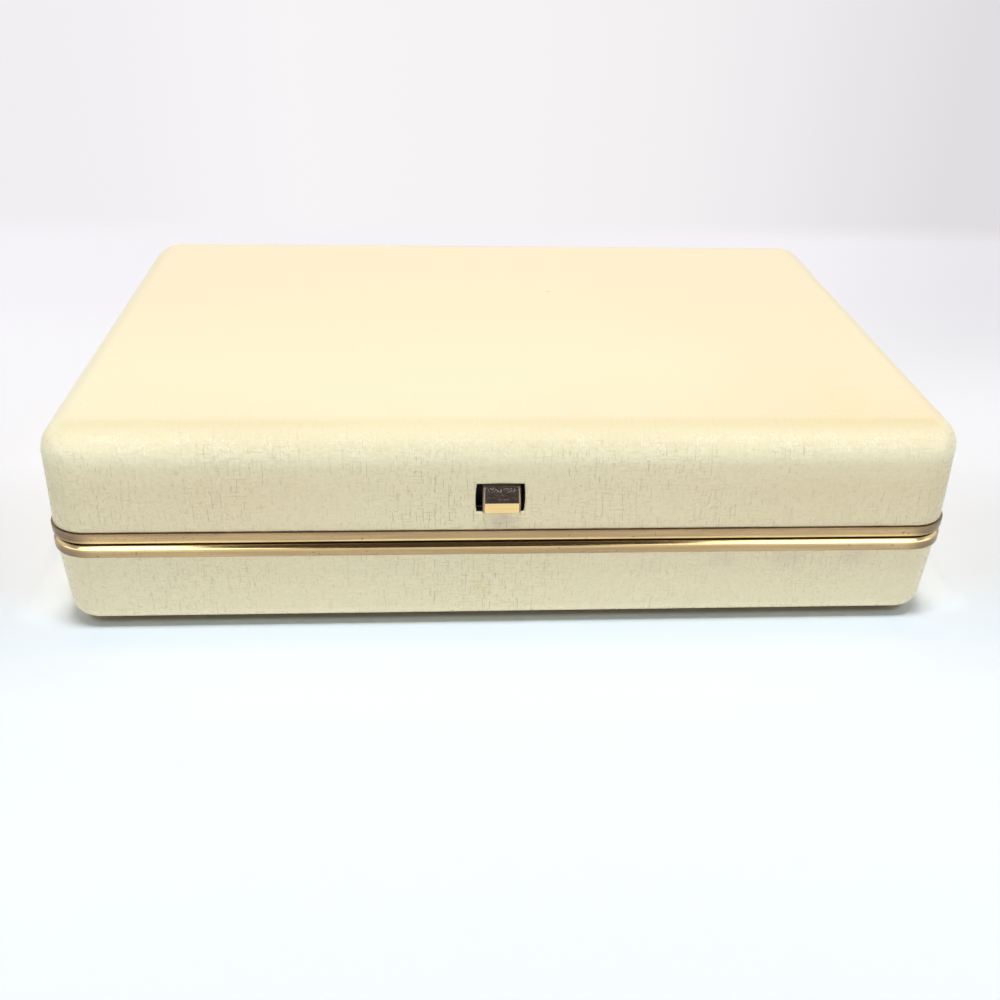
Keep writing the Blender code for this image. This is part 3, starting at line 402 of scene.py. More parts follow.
def leatherFinish():
    look = leatherLook
    n = newFinish("crackledLeatherette", Roughness=0.36, Specular_IOR_Level=0.55)
    flat, here = n.grain(), n.place()
    shift = n.vector("SUBTRACT", n.noise(flat, 190, 2, 0.6, "2D", "Color"), (0.5, 0.5, 0.5))
    warped = n.vector("ADD", flat, n.vector("SCALE", shift, look["wander"]))
    right, up, _ = n.split(warped)
    x, y, z = n.split(here)
    # crackle lines, and a few dark dots
    zone = n.remap(n.noise(flat, 26, 3, 0.55, "2D"), 0.34, 0.58, 0.55, 1)
    crack = n.times(n.most(*(n.hairlines(right, up, *line) for line in look["hairlines"])), zone)
    away, pick = n.cells(warped, 330.0, 1, "EUCLIDEAN")
    dot = n.math("LESS_THAN", away, n.remap(pick, 0.93, 1, 0, 0.085, False))
    mottle = n.noise(flat, 420, 3, 0.6, "2D")
    tone = n.remap(n.noise(here, 9, 3, 0.55), 0.36, 0.66)
    onTop = n.remap(z, *look["topZ"])
    # yellower to the rear, and on the right of the top
    yellowed = n.most(n.times(tone, 0.5), n.remap(y, -0.075, 0.03, 0, 0.9))
    yellowed = n.math("ADD", yellowed, n.times(n.remap(x, 0.02, 0.12, 0, 0.55), onTop))
    # painted light: paler and bluer towards the table, as light thrown up by the table, and paler in the
    # middle of the front
    middle = n.times(n.central(x, 0.03, 0.11, 0.3), n.remap(z, 0.06, 0.052))
    # painted light: the lid's upper front and rounded edge are paler
    rubbed = n.times(n.between(z, *look["rubbedZ"]), n.remap(tone, 0, 1, 1, 0.75))
    # painted highlight: a pale band along the lower part of the lid's rounded edge
    lip = n.times(n.between(z, *look["lipZ"]), 0.9)
    # painted glints along the lid's front edge: the grain's high points are painted pale, and the cells
    # round them a little paler
    away, pick = n.cells(n.mapped(warped, look["glintCells"]))
    high = n.times(n.remap(away, 0.2, 0.42, 1, 0), n.remap(pick, 0.3, 0.6))
    patches = n.remap(n.noise(flat, 75, 3, 0.6, "2D"), 0.4, 0.6, 0.25, 1)
    edge = n.times(n.between(z, *look["glintZ"]), n.remap(y, -0.08, -0.087), patches)
    # lines and mottling are fainter on the top, away from its front edge
    calm = n.times(onTop, n.remap(y, -0.088, -0.05, 0.5, 0.94))
    shown = n.less(1, calm)
    paler = n.less(n.remap(mottle, 0.4, 0.72, 0, 0.4), 0.18)
    colour = n.layers(look["cream"], (yellowed, look["warm"]),
                      (n.remap(z, 0.06, 0.003, smooth=False), look["low"]), (middle, look["low"]),
                      (rubbed, look["rubbed"]), (lip, look["lip"]),
                      (n.times(edge, n.remap(away, 0.35, 0.6, 0, 0.35)), look["low"]),
                      (n.times(edge, high, 0.85), look["glint"]),
                      (n.line(paler, shown, 0.18), look["pale"]))
    speckle = n.remap(mottle, 0.32, 0.6, 0.35, 1)
    for point, radius, markColour, strength in look["stains"]:
        colour = n.mix(n.times(n.near(point, radius, 0.1), strength, speckle), colour, markColour)
    patchy = n.remap(n.noise(n.place((120, 120, 20)), 1, 3, 0.6), 0.36, 0.62, 0.25, 0.85)
    # a dark line where the leather meets each band: grime, and painted shade in the joint
    for edgeZ, reach in look["grimeEdges"]:
        inside = n.math("GREATER_THAN", n.times(n.less(z, edgeZ), reach), 0)
        soot = n.times(n.remap(z, edgeZ, edgeZ + reach, 1, 0), patchy, inside)
        colour = n.mix(soot, colour, look["grime"])
    # the lines are firmer in the base's middle
    firm = n.line(n.near(*look["firm"], 0.4), 0.7, 1)
    crack = n.times(crack, shown)
    n.link(n.layers(colour, (n.times(crack, firm, look["crackTone"]), look["crack"]),
                    (n.times(dot, shown, look["speckTone"]), look["speck"])), "Base Color")
    blocks = n.cells(n.mapped(warped, look["blockCells"]))[0]
    relief = n.less(n.line(blocks, -0.95, n.times(mottle, 0.5)), crack)
    n.link(n.bump(n.times(relief, n.line(calm, -0.88, 1)), look["crackDepth"]), "Normal")
    n.link(n.line(n.remap(mottle, 0.3, 0.7, -0.075, 0.075), shown, 0.325), "Roughness")
    return n.finish


giltLook = {"bright": (0.93, 0.68, 0.31, 1), "dull": (0.55, 0.39, 0.21, 1),
            "tarnish": (0.14, 0.09, 0.05, 1)}


def giltFinish(name, wear, rough, spots):
    # wear from 0, bright, to 1, dulled all over
    n = newFinish(name, Metallic=1.0, Roughness=rough)
    here = n.place()
    dulled = n.remap(n.noise(here, 70, 4, 0.6), 0.62 - 0.6 * wear, 0.85 - 0.55 * wear)
    lines = n.noise(n.place((30, 30, 1800)), 1, 3, 0.6)
    spot = n.times(n.remap(n.noise(here, 900, 2, 0.5), 0.66, 0.74),
                   n.remap(n.noise(here, 55, 3, 0.6), 0.46, 0.66), spots)
    n.link(n.layers(giltLook["bright"], (dulled, giltLook["dull"]),
                    (n.remap(lines, 0.35, 0.75, 0, 0.25), giltLook["dull"]),
                    (spot, giltLook["tarnish"])), "Base Color")
    n.link(n.line(spot, 0.3, n.line(dulled, 0.12, rough - 0.04)), "Roughness")
    n.link(n.bump(lines, 0.00002, 0.35), "Normal")
    return n.finish


wornLook = {"scratch": (0.62, 0.52, 0.42, 1), "crownZ": ((0.048, 0.05), (0.05, 0.0508))}


def wornFinish(name, metal, haze, hazed, rough):
    # gilt rubbed by fingers: a grey film, with bright scratches and specks along the facet's top
    n = newFinish(name, Roughness=rough)
    here = n.place()
    film = n.remap(n.noise(here, 500, 4, 0.7), 0.35, 0.65, hazed - 0.12, hazed + 0.12)
    scratch = n.remap(n.noise(n.place((900, 300, 4200)), 1, 3, 0.6), 0.6, 0.72)
    crown = n.between(n.split(here)[2], *wornLook["crownZ"])
    speck = n.times(n.remap(n.noise(here, 2300, 2, 0.6), 0.52, 0.66), crown)
    marks = n.times(n.most(n.times(scratch, 0.35), speck), 0.75)
    n.link(n.layers(metal, (film, haze), (marks, wornLook["scratch"])), "Base Color")
    n.link(n.less(1, n.most(film, marks)), "Metallic")
    n.link(n.line(marks, 0.2, rough), "Roughness")
    n.link(n.bump(scratch, 0.00004, 0.5), "Normal")
    return n.finish


# heights over the parting: the groove, the polished edge and the far edge of a band's flat
bandLook = {"polished": (0.95, 0.71, 0.34, 1), "dull": (0.565, 0.405, 0.217, 1),
            "brown": (0.345, 0.235, 0.132, 1), "tarnish": (0.2, 0.14, 0.09, 1),
            "bronze": (0.15, 0.1, 0.055, 1), "soot": (0.055, 0.038, 0.018, 1),
            "roughPolished": 0.12, "roughDull": 0.24,
            "lid": {"groove": (0.0009, 0.0012), "edge": (0.0013, 0.0021), "far": (0.0034, 0.004)},
            "base": {"groove": (0.0002, 0.0005), "edge": (0.0013, 0.0023), "far": (0.0036, 0.0042)}}


def bandFinish(half):
    look, zones = bandLook, bandLook[half]
    n = newFinish(half + "BandGilt", Metallic=1.0)
    here = n.place()
    x, y, z = n.split(here)
    rise = n.math("ABSOLUTE", n.less(z, case["parting"]))
    streaks = n.noise(n.place((28, 28, 900)), 1, 4, 0.65)
    cloud = n.noise(here, 60, 4, 0.6)
    grain = n.noise(here, 1100, 2, 0.5)
    ragged = n.line(streaks, 0.0008, n.less(rise, 0.0004))
    polish = n.remap(ragged, *zones["edge"], 1, 0)
    # the flat's far edge, against the leather, is browner: grime, and painted shade at the joint
    far = n.times(n.remap(ragged, *zones["far"]), n.remap(cloud, 0.34, 0.6, 0.6, 0.95))
    colour = n.layers(look["dull"], (n.remap(streaks, 0.35, 0.68, 0, 0.45), look["brown"]),
                      (n.central(x, 0.03, 0.1, 0.3), look["brown"]),
                      (n.times(polish, n.remap(streaks, 0.4, 0.75, 1, 0.7)), look["polished"]),
                      (far, look["brown"]))
    if half == "base":
        # painted dark reflection: in the middle of the front the polished edge is painted bronze, where it
        # mirrors the dark space before the case
        colour = n.mix(n.times(n.central(x, 0.062, 0.112, 0.3), n.remap(y, -0.085, -0.09), polish,
                               n.remap(grain, 0.56, 0.7, 1, 0.55)), colour, look["bronze"])
    # painted dark reflection: the band is darkened where it turns round the corners towards the sides
    beyond = [n.less(n.math("ABSOLUTE", value), run) for value, run in ((x, runX), (y, runY))]
    corner = n.times(n.remap(n.math("MINIMUM", *beyond), -0.004, 0.0045),
                     n.remap(streaks, 0.3, 0.6, 0.95, 0.6))
    freckle = n.times(n.remap(grain, 0.66, 0.74), n.remap(cloud, 0.38, 0.66))
    # painted shade, with some soot, lies in the groove, and thinly on the faces that meet behind it
    meeting = n.remap(n.outline(x, y)[0], -0.0034, -0.0018, 0.25, 1)
    groove = n.times(n.remap(rise, *zones["groove"], 0.88, 0), meeting)
    dirtAndShade = n.most(n.times(freckle, 0.6), groove)
    n.link(n.layers(colour, (corner, look["tarnish"]), (dirtAndShade, look["soot"])), "Base Color")
    rough = n.line(polish, look["roughPolished"] - look["roughDull"], look["roughDull"])
    rough = n.math("ADD", rough, n.remap(rise, *zones["far"], 0, 0.3))
    n.link(n.line(dirtAndShade, 0.3, rough), "Roughness")
    n.link(n.bump(streaks, 0.00003, 0.35), "Normal")
    return n.finish


def darkened(colour):
    return tuple(0.62 * value for value in colour[:3]) + (1,)


def metalFinish(name, colour, rough):
    n = newFinish(name, Metallic=1.0, Roughness=rough)
    lines = n.noise(n.place((40, 40, 1500)), 1, 3, 0.6)
    dust = n.noise(n.place(), 160, 4, 0.6)
    n.link(n.mix(n.remap(dust, 0.35, 0.75, 0, 0.8), colour, darkened(colour)), "Base Color")
    n.link(n.remap(dust, 0.3, 0.7, rough - 0.06, rough + 0.1), "Roughness")
    n.link(n.bump(lines, 0.00003, 0.4), "Normal")
    return n.finish


def velvetFinish(name, colour, light):
    n = newFinish(name, Roughness=0.85, Specular_IOR_Level=0.2, Sheen_Weight=0.7,
                  Sheen_Roughness=0.35, Sheen_Tint=light)
    nap = n.noise(n.place((1, 1.6, 1.3)), 95, 4, 0.65)
    fibre = n.noise(n.place(), 2600, 2, 0.6)
    shade = darkened(colour)
    n.link(n.layers(colour, (n.remap(nap, 0.3, 0.7, 0, 0.55), shade),
                    (n.remap(fibre, 0.3, 0.75, 0, 0.5), shade)), "Base Color")
    n.link(n.bump(fibre, 0.0002, 0.5, n.bump(nap, 0.0006, 0.2)), "Normal")
    return n.finish


def satinFinish(name, colour, shade):
    n = newFinish(name, Roughness=0.32, Specular_IOR_Level=0.5, Anisotropic=0.5,
                  Sheen_Weight=0.15, Sheen_Roughness=0.4)
    warp = n.noise(n.place((4200, 260, 260)), 1, 2, 0.5)
    weft = n.noise(n.place((260, 4200, 4200)), 1, 2, 0.5)
    tone = n.noise(n.place(), 26, 3, 0.6)
    n.link(n.mix(n.remap(tone, 0.35, 0.7, 0, 0.7), colour, shade), "Base Color")
    thread = n.math("ADD", n.times(warp, 0.7), n.times(weft, 0.3))
    ripple = n.bump(n.noise(n.place((1, 2.4, 1)), 30, 3, 0.5), 0.0016, 0.35)
    n.link(n.bump(thread, 0.00006, 0.5, ripple), "Normal")
    n.link(n.remap(tone, 0.3, 0.7, 0.28, 0.4), "Roughness")
    return n.finish


def fibreFinish(name, fibres, pale, dark, depth, strength, **sockets):
    n = newFinish(name, **sockets)
    scale, *grain = fibres
    fibre = n.noise(n.place(scale), *grain)
    n.link(n.mix(n.remap(fibre, 0.3, 0.7), pale, dark), "Base Color")
    n.link(n.bump(fibre, depth, strength), "Normal")
    return n.finish


leather = leatherFinish()
bandGilt = {half: bandFinish(half) for half in halves}
buttonGilt = giltFinish("brightGilt", 0.12, 0.085, 0.35)
buttonFacet = wornFinish("wornFacet", (0.13, 0.095, 0.075, 1), (0.045, 0.033, 0.032, 1), 0.45, 0.2)
buttonRim = wornFinish("wornRim", (0.46, 0.34, 0.22, 1), (0.26, 0.205, 0.175, 1), 0.5, 0.3)
fittingGilt = giltFinish("fittingGilt", 0.5, 0.25, 0.3)
plated = metalFinish("platedSteel", (0.66, 0.55, 0.36, 1), 0.3)
steel = metalFinish("darkSteel", (0.2, 0.18, 0.16, 1), 0.38)
# blackened steel for the catch, dark enough to stand in for the shade inside the window
blackenedForShade = metalFinish("blackenedSteel", (0.03, 0.027, 0.025, 1), 0.55)
wine = velvetFinish("wineVelvet", (0.2, 0.018, 0.035, 1), (0.8, 0.3, 0.36, 1))
ivory = satinFinish("ivorySatin", (0.8, 0.71, 0.55, 1), (0.7, 0.58, 0.41, 1))
felt = fibreFinish("brownFelt", ((1, 1, 1), 1400, 4, 0.7), (0.1, 0.075, 0.055, 1), (0.055, 0.04, 0.03, 1),
                   0.0005, 0.8, Roughness=0.95, Specular_IOR_Level=0.1, Sheen_Weight=0.3)
# blackened board, also dark enough to stand in for the shade where it shows in the window
board = fibreFinish("blackenedBoard", ((300, 300, 1200), 1.0, 3, 0.6), (0.03, 0.025, 0.02, 1),
                    (0.012, 0.01, 0.009, 1), 0.0002, 0.5, Roughness=0.9, Specular_IOR_Level=0.15)
print("finishes made")


cover = {"inset": 0, "start": {"lid": 0.0045, "base": 0.0043}, "radius": {"lid": 0.01, "base": 0.005},
         "edgeSteps": 14, "cornerSteps": 20, "window": ((-0.0103, 0.0041), (0.04225, 0.05195)),
         "windowBow": 0.00035, "ragged": 0.0001, "windowCuts": 22, "windowRing": 0.0008,
         "frontY": -0.09, "near": 1e-5}


def unrollGrain(bm, sign, centre, riseZ, radius):
    # a flat map in metres: the end as seen, and the sides folded out from it
    grain = bm.loops.layers.uv.new("grain")
    for face in bm.faces:
        middle = face.calc_center_median()
        flatEnd = abs(face.normal.z) > 0.9999
        beyondX, beyondY = abs(middle.x) - runX, abs(middle.y) - runY
        alongX = beyondY * runX > beyondX * runX if beyondX > 0 and beyondY > 0 else beyondY > beyondX
        for loop in face.loops:
            x, y, z = loop.vert.co
            if flatEnd:
                loop[grain].uv = (x, y * sign)
                continue
            overX, overY = max(abs(x) - runX, 0), max(abs(y) - runY, 0)
            inCorner = overX and overY
            out = (math.hypot(overX, overY) if inCorner else max(overX, overY)) - case["corner"]
            turn = math.atan2(out - centre, max(sign * (z - riseZ), 1e-9))
            run = radius * min(turn, math.pi / 2) + max(sign * (riseZ - z), 0)
            arc = math.atan2(overX, overY) if alongX else math.atan2(overY, overX)
            arc = arc * case["corner"] if inCorner else 0
            if alongX:
                across = math.copysign(min(abs(x), runX) + arc, x)
                loop[grain].uv = (across, sign * math.copysign(case["halfY"] + centre + run, middle.y))
            else:
                across = math.copysign(min(abs(y), runY) + arc, y)
                loop[grain].uv = (math.copysign(case["halfX"] + centre + run, middle.x), sign * across)


def cutWindow(bm):
    # the catch's window, cut by hand: bowed sides and a slightly torn edge
    (left, right), (low, high) = cover["window"]
    ring, near = cover["windowRing"], cover["near"]

    def facesIn(left, right, low, high):
        middles = ((f, f.calc_center_median()) for f in bm.faces if f.normal.y < -0.99)
        return [f for f, middle in middles if left < middle.x < right and low < middle.z < high
                and middle.y < cover["frontY"]]

    cuts = [((x, 0, 0), (1, 0, 0)) for x in (left - ring, left, right, right + ring)]
    cuts += [((0, 0, z), (0, 0, 1)) for z in (low - ring, low, high, high + ring)]
    for point, normal in cuts:
        front = facesIn(-1, 1, 0, 1)
        geom = front + list({e for f in front for e in f.edges}) + list({v for f in front for v in f.verts})
        bmesh.ops.bisect_plane(bm, geom=geom, plane_co=point, plane_no=normal, dist=1e-7)
    edges = list({e for f in facesIn(left, right, low, high) for e in f.edges})
    bmesh.ops.subdivide_edges(bm, edges=edges, cuts=cover["windowCuts"])
    bmesh.ops.delete(bm, geom=facesIn(left, right, low, high), context="FACES")
    midX, midZ = (left + right) / 2, (low + high) / 2
    for vert in bm.verts:
        x, y, z = vert.co
        if y > cover["frontY"] or not (left - near < x < right + near and low - near < z < high + near):
            continue
        torn = cover["ragged"] * noiseAt(Vector((x * 2600, z * 2600, 1.7)))
        if abs(x - left) < near or abs(x - right) < near:
            bow = cover["windowBow"] * (1 - ((z - midZ) / (high - low) * 2) ** 2)
            vert.co.x += math.copysign(bow + torn, x - midX)
        else:
            bow = 0.4 * cover["windowBow"] * (1 - ((x - midX) / (right - left) * 2) ** 2)
            vert.co.z += math.copysign(bow + torn, z - midZ)


def makeCover(half):
    bm, centre, riseZ = shellMesh(half, cover)
    if half == "lid":
        cutWindow(bm)
    unrollGrain(bm, halves[half][0], centre, riseZ, cover["radius"][half])
    piece = finishPiece(half + "Leather", bm, leather, half, half + "_cover", 50, False)
    addWall(piece, case["leather"])


for half in halves:
    makeCover(half)
print("leather covers made")


band = {"proud": 0.0006, "height": {"lid": 0.0042, "base": 0.004}, "chamfer": 0.0012, "gap": 0.00015,
        "lipWall": 0.0008, "lipHeight": 0.0035, "web": 0.001, "lipGap": 0.0006, "ease": 0.00022,
        "edgeEase": 0.00045, "easeSteps": 5, "cornerSteps": 24}


def makeBand(half):
    height, chamfer, gap, ease = band["height"][half], band["chamfer"], band["gap"], band["ease"]
    lip, web = gap + band["lipHeight"], gap + band["web"]
    width = band["proud"] + case["roomInset"] + band["lipGap"] + band["lipWall"]
    inner, flange = width - band["lipWall"], band["proud"] + case["leather"]
    section = [(0, height), (0, chamfer), (chamfer, gap), (width, gap), (width, lip), (inner, lip),
               (inner, web), (flange, web), (flange, height)]
    radii = [ease, band["edgeEase"], ease, ease, ease, ease, 0, 0, ease]
    profile = [(band["proud"] - inset, case["parting"] + halves[half][0] * up)
               for inset, up in roundedProfile(section, radii, band["easeSteps"])]
    bm = bmesh.new()
    sweepRound(bm, profile, band["cornerSteps"], closed=True)
    finishPiece(half + "Band", bm, bandGilt[half], half, half + "_band", 28)


for half in halves:
    makeBand(half)
print("bands made")


button = {"left": -0.0084, "right": 0.0031, "back": -0.0869, "face": -0.09555, "low": 0.04255,
          "high": 0.05165, "ledge": 0.0033, "slope": 0.002, "topBevel": 0.0011, "topDrop": 0.0007,
          "sideBevel": 0.00055, "ease": 0.00008, "front": -0.0909}


def makeButton():
    b = button
    upper = b["high"] - b["topDrop"]
    outline = [(b["back"], b["low"]), (b["face"], b["low"]), (b["face"], b["low"] + b["ledge"]),
               (b["face"] + b["slope"], b["high"] - b["topBevel"]),
               (b["face"] + b["slope"] + b["topBevel"], upper), (b["back"], upper)]
    bm = bmesh.new()
    side = bm.faces.new([bm.verts.new((b["left"], y, z)) for y, z in outline])
    grown = vertsAndEdges(bmesh.ops.extrude_face_region(bm, geom=[side])["geom"])[0]
    bmesh.ops.translate(bm, verts=grown, vec=(b["right"] - b["left"], 0, 0))
    front = [e for e in bm.edges if abs(e.verts[0].co.x - e.verts[1].co.x) < touch
             and max(v.co.y for v in e.verts) < b["front"]]
    bevelEdges(bm, front, b["sideBevel"], 1, True)
    bevelEdges(bm, [e for e in bm.edges if e.calc_face_angle(0) > math.radians(8)], b["ease"], 2, True)
    piece = finishPiece("button", bm, buttonGilt, "catch", "latch_button", 12)
    piece.data.materials.append(buttonFacet)
    piece.data.materials.append(buttonRim)
    # the rim turns aside or up, the upper facet leans back
    for face in piece.data.polygons:
        if abs(face.normal.x) > 0.2 or face.normal.z > 0.6:
            face.material_index = 2
        elif face.normal.z > 0.12:
            face.material_index = 1


makeButton()
print("button made")


# a CAD node that is kept takes the finish of the first of these words in its name
fittings = {"shell": board, "guide": blackenedForShade, "housing": blackenedForShade, "slide": blackenedForShade, "pin_": steel,
            "rivet": steel, "stud": steel, "pivot": steel, "hinge_leaf": fittingGilt,
            "strike": fittingGilt, "arm_": plated, "bracket": plated}
for name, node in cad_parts.items():
    found = [finish for word, finish in fittings.items() if word in name]
    for spot in node.material_slots if found else ():
        spot.material = found[0]


def makeSpring():
    # the catch's coil, taken over from its part; in the real catch it shortens towards its fixed end as the
    # catch slides
    bm = bmesh.new()
    bm.from_mesh(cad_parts["latch_spring"].data)
    piece = finishPiece("catchSpring", bm, blackenedForShade, "lid", "latch_spring", 60)
    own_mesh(piece)


makeSpring()
print("fittings dressed")


lining = {"inset": 0.0035, "start": {"lid": 0.00145, "base": 0.00145},
          "radius": {"lid": 0.0065, "base": 0.002}, "edgeSteps": 8, "cornerSteps": 12, "wall": 0.0008}


def makeLining(half):
    # blackened where it shows behind the window, partly as painted shade, and cloth inside
    bm = shellMesh(half, lining)[0]
    if half == "lid":
        cutWindow(bm)
    piece = finishPiece(half + "Lining", bm, board, half,
                        half + "_lining", 50, False)
    piece.data.materials.append(ivory if half == "lid" else wine)
    addWall(piece, lining["wall"], 1)


for half in halves:
    makeLining(half)
print("linings made")


tray = {"halfX": 0.13, "front": -0.03, "rear": 0.0847, "low": 0.0216, "high": 0.0416, "wall": 0.002,
        "rib": 0.002, "floor": 0.0016, "columns": 3, "rows": 2, "cellCorner": 0.003, "cellSteps": 6,
        "outerCorner": 0.004, "outerSteps": 8, "floorEase": 0.0012, "rimEase": 0.0007, "above": 0.002}


def makeTray():
    t = tray
    low, high = Vector((-t["halfX"], t["front"], t["low"])), Vector((t["halfX"], t["rear"], t["high"]))
    outside = roundedBlock(low, high, t["outerCorner"], t["outerSteps"], t["rimEase"])
    # one cutter for each cell, all in one mesh
    cells = bmesh.new()
    spanX = (high.x - low.x - 2 * t["wall"] + t["rib"]) / t["columns"]
    spanY = (high.y - low.y - 2 * t["wall"] + t["rib"]) / t["rows"]
    for column in range(t["columns"]):
        for row in range(t["rows"]):
            near = low + Vector((t["wall"] + column * spanX, t["wall"] + row * spanY, t["floor"]))
            far = Vector((near.x + spanX - t["rib"], near.y + spanY - t["rib"], t["high"] + t["above"]))
            cell = roundedBlock(near, far, t["cellCorner"], t["cellSteps"], t["floorEase"])
            mesh = bpy.data.meshes.new("cell")
            cell.to_mesh(mesh)
            cell.free()
            cells.from_mesh(mesh)
            bpy.data.meshes.remove(mesh)
    body = addObject("trayBlock", meshOf("trayBlock", outside, wine))
    cutter = addObject("trayCells", meshOf("trayCells", cells, wine))
    cut = body.modifiers.new("cells", "BOOLEAN")
    cut.object, cut.operation, cut.solver = cutter, "DIFFERENCE", "EXACT"
    bpy.context.view_layer.update()
    bm = bmesh.new()
    bm.from_object(body, bpy.context.evaluated_depsgraph_get())
    for piece in (body, cutter):
        bpy.data.objects.remove(piece)
    rims = [e for e in edgesAt(bm, t["high"]) if len(e.link_faces) == 2
            and e.calc_face_angle(0) > math.radians(60)]
    bevelEdges(bm, rims, t["rimEase"], 3)
    finishPiece("trayBody", bm, wine, "tray", "tray", 60)


makeTray()
print("tray made")


divider = {"round": 0.42, "steps": 6}


def makeDivider(name):
    low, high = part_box(name)
    bm = plainBlock(low, high)
    thick = min((high - low).xy)
    bevelEdges(bm, edgesAt(bm, high.z), thick * divider["round"], divider["steps"])
    first, *others = name.split("_")
    finishPiece(first + "".join(other.title() for other in others), bm, wine, "base", name, 60)


for name in [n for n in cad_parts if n.startswith("divider")]:
    makeDivider(name)


# ends: half an outline from the puckered end to the full width, as shares of the radius
roll = {"gather": 0.035, "gathers": 12, "seam": 0.07, "seamTurn": -1.9, "seamWidth": 0.1, "rows": 16,
        "steps": 72, "fullness": 0.8, "uneven": 0.02,
        "ends": [(0.0, 0.1), (0.12, 0.04), (0.3, 0.0), (0.55, 0.03), (0.8, 0.14), (0.94, 0.34),
                 (0.995, 0.62), (1.0, 1.0)]}


def makeRoll(name, seed):
    low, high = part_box(name)
    radius, length = (high - low).z / 2, (high - low).x
    deep = radius * roll["fullness"]
    side = [(share * radius, length / 2 - depth * deep) for share, depth in roll["ends"]]
    last = side[-1][1]
    body = [(radius, last - 2 * last * i / roll["rows"]) for i in range(1, roll["rows"])]
    bm = bmesh.new()
    verts = [bm.verts.new((x, r, 0)) for r, x in side + body + [(r, -x) for r, x in reversed(side)]]
    edges = [bm.edges.new(pair) for pair in zip(verts, verts[1:])]
    bmesh.ops.spin(bm, geom=verts + edges, cent=(0, 0, 0), axis=(1, 0, 0), angle=math.tau,
                   steps=roll["steps"], use_merge=True)
    bmesh.ops.remove_doubles(bm, verts=bm.verts, dist=touch)
    for vert in bm.verts:
        x, y, z = vert.co
        turn = math.atan2(z, y)
        fromEnd = (length / 2 - abs(x)) / radius
        gather = max(0.0, 1 - fromEnd / 1.6) * min(1.0, math.hypot(y, z) / radius * 1.6)
        swell = 1 - roll["uneven"] * (1 + noiseAt(Vector((x * 90 + seed, y * 110, z * 110))))
        swell -= gather * roll["gather"] * (1 + math.cos(roll["gathers"] * turn + seed))
        swell -= roll["seam"] * math.exp(-((turn - roll["seamTurn"]) / roll["seamWidth"]) ** 2)
        vert.co.y *= swell
        vert.co.z *= swell
    bmesh.ops.translate(bm, verts=bm.verts, vec=(low + high) / 2)
    piece = finishPiece("ringRoll" + name[-1], bm, wine, "base", name, 80)


for index, name in enumerate(sorted(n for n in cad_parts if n.startswith("ring_roll"))):
    makeRoll(name, index * 7.3)
print("dividers and rolls made")


pad = {"corner": 0.01, "cell": 0.0035, "slack": 0.0017, "edge": 0.001, "ease": 0.0014, "cap": 0.0021,
       "pressure": 4.0, "loose": -0.05, "frames": 20, "quality": 6, "clear": 0.0001,
       "cornerSteps": 12}


def simulateCloth(piece, held):
    # one cloth run: the held points stay, and no point goes past the cap
    start = [vert.co.copy() for vert in piece.data.vertices]
    pins = piece.vertex_groups.new(name="held")
    pins.add(held, 1.0, "REPLACE")
    cloth = piece.modifiers.new("cloth", "CLOTH")
    settings = cloth.settings
    settings.quality = pad["quality"]
    settings.vertex_group_mass = "held"
    settings.use_pressure = True
    settings.uniform_pressure_force = pad["pressure"]
    settings.shrink_min = pad["loose"]
    settings.effector_weights.gravity = 0
    cloth.point_cache.frame_end = pad["frames"]
    scene = bpy.context.scene
    for step in range(1, pad["frames"] + 1):
        scene.frame_set(step)
    shown = piece.evaluated_get(bpy.context.evaluated_depsgraph_get()).data
    ends = [vert.co.copy() for vert in shown.vertices]
    piece.modifiers.remove(cloth)
    scene.frame_set(1)
    for vert, was, now in zip(piece.data.vertices, start, ends):
        step = now - was
        vert.co = was + step * min(1.0, pad["cap"] / max(step.length, 1e-9))
    piece.vertex_groups.remove(pins)


def makePad():
    low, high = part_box("lid_pad")
    inset = Vector((pad["edge"], pad["edge"], 0))
    back = low + inset + Vector((0, 0, pad["slack"]))
    bm = roundedBlock(back, high - inset, pad["corner"], pad["cornerSteps"], pad["ease"])
    for axis in (0, 1):
        count = round((high - low)[axis] / pad["cell"])
        for index in range(1, count):
            point, normal = Vector(), Vector()
            point[axis] = low[axis] + (high - low)[axis] * index / count
            normal[axis] = 1.0
            bmesh.ops.bisect_plane(bm, geom=bm.verts[:] + bm.edges[:] + bm.faces[:], dist=touch,
                                   plane_co=point, plane_no=normal)
    piece = finishPiece("lidPad", bm, ivory, "lid", "lid_pad", 180)
    held = [vert.index for vert in piece.data.vertices if vert.co.z > back.z + pad["ease"]]
    simulateCloth(piece, held)
    for vert in piece.data.vertices:
        for axis in range(3):
            vert.co[axis] = min(max(vert.co[axis], low[axis] + pad["clear"]), high[axis] - pad["clear"])
    rounder = piece.modifiers.new("rounder", "SUBSURF")
    rounder.levels = rounder.render_levels = 1


makePad()
print("lid pad made")


foot = {"corner": 0.0065, "cornerSteps": 12, "ease": 0.0003}


def makeFoot():
    low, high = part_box("foot_felt")
    bm = roundedBlock(low, high, foot["corner"], foot["cornerSteps"])
    bevelEdges(bm, edgesAt(bm, low.z) + edgesAt(bm, high.z), foot["ease"], 2)
    finishPiece("footFelt", bm, felt, "base", "foot_felt", 60)


makeFoot()
print("foot made")
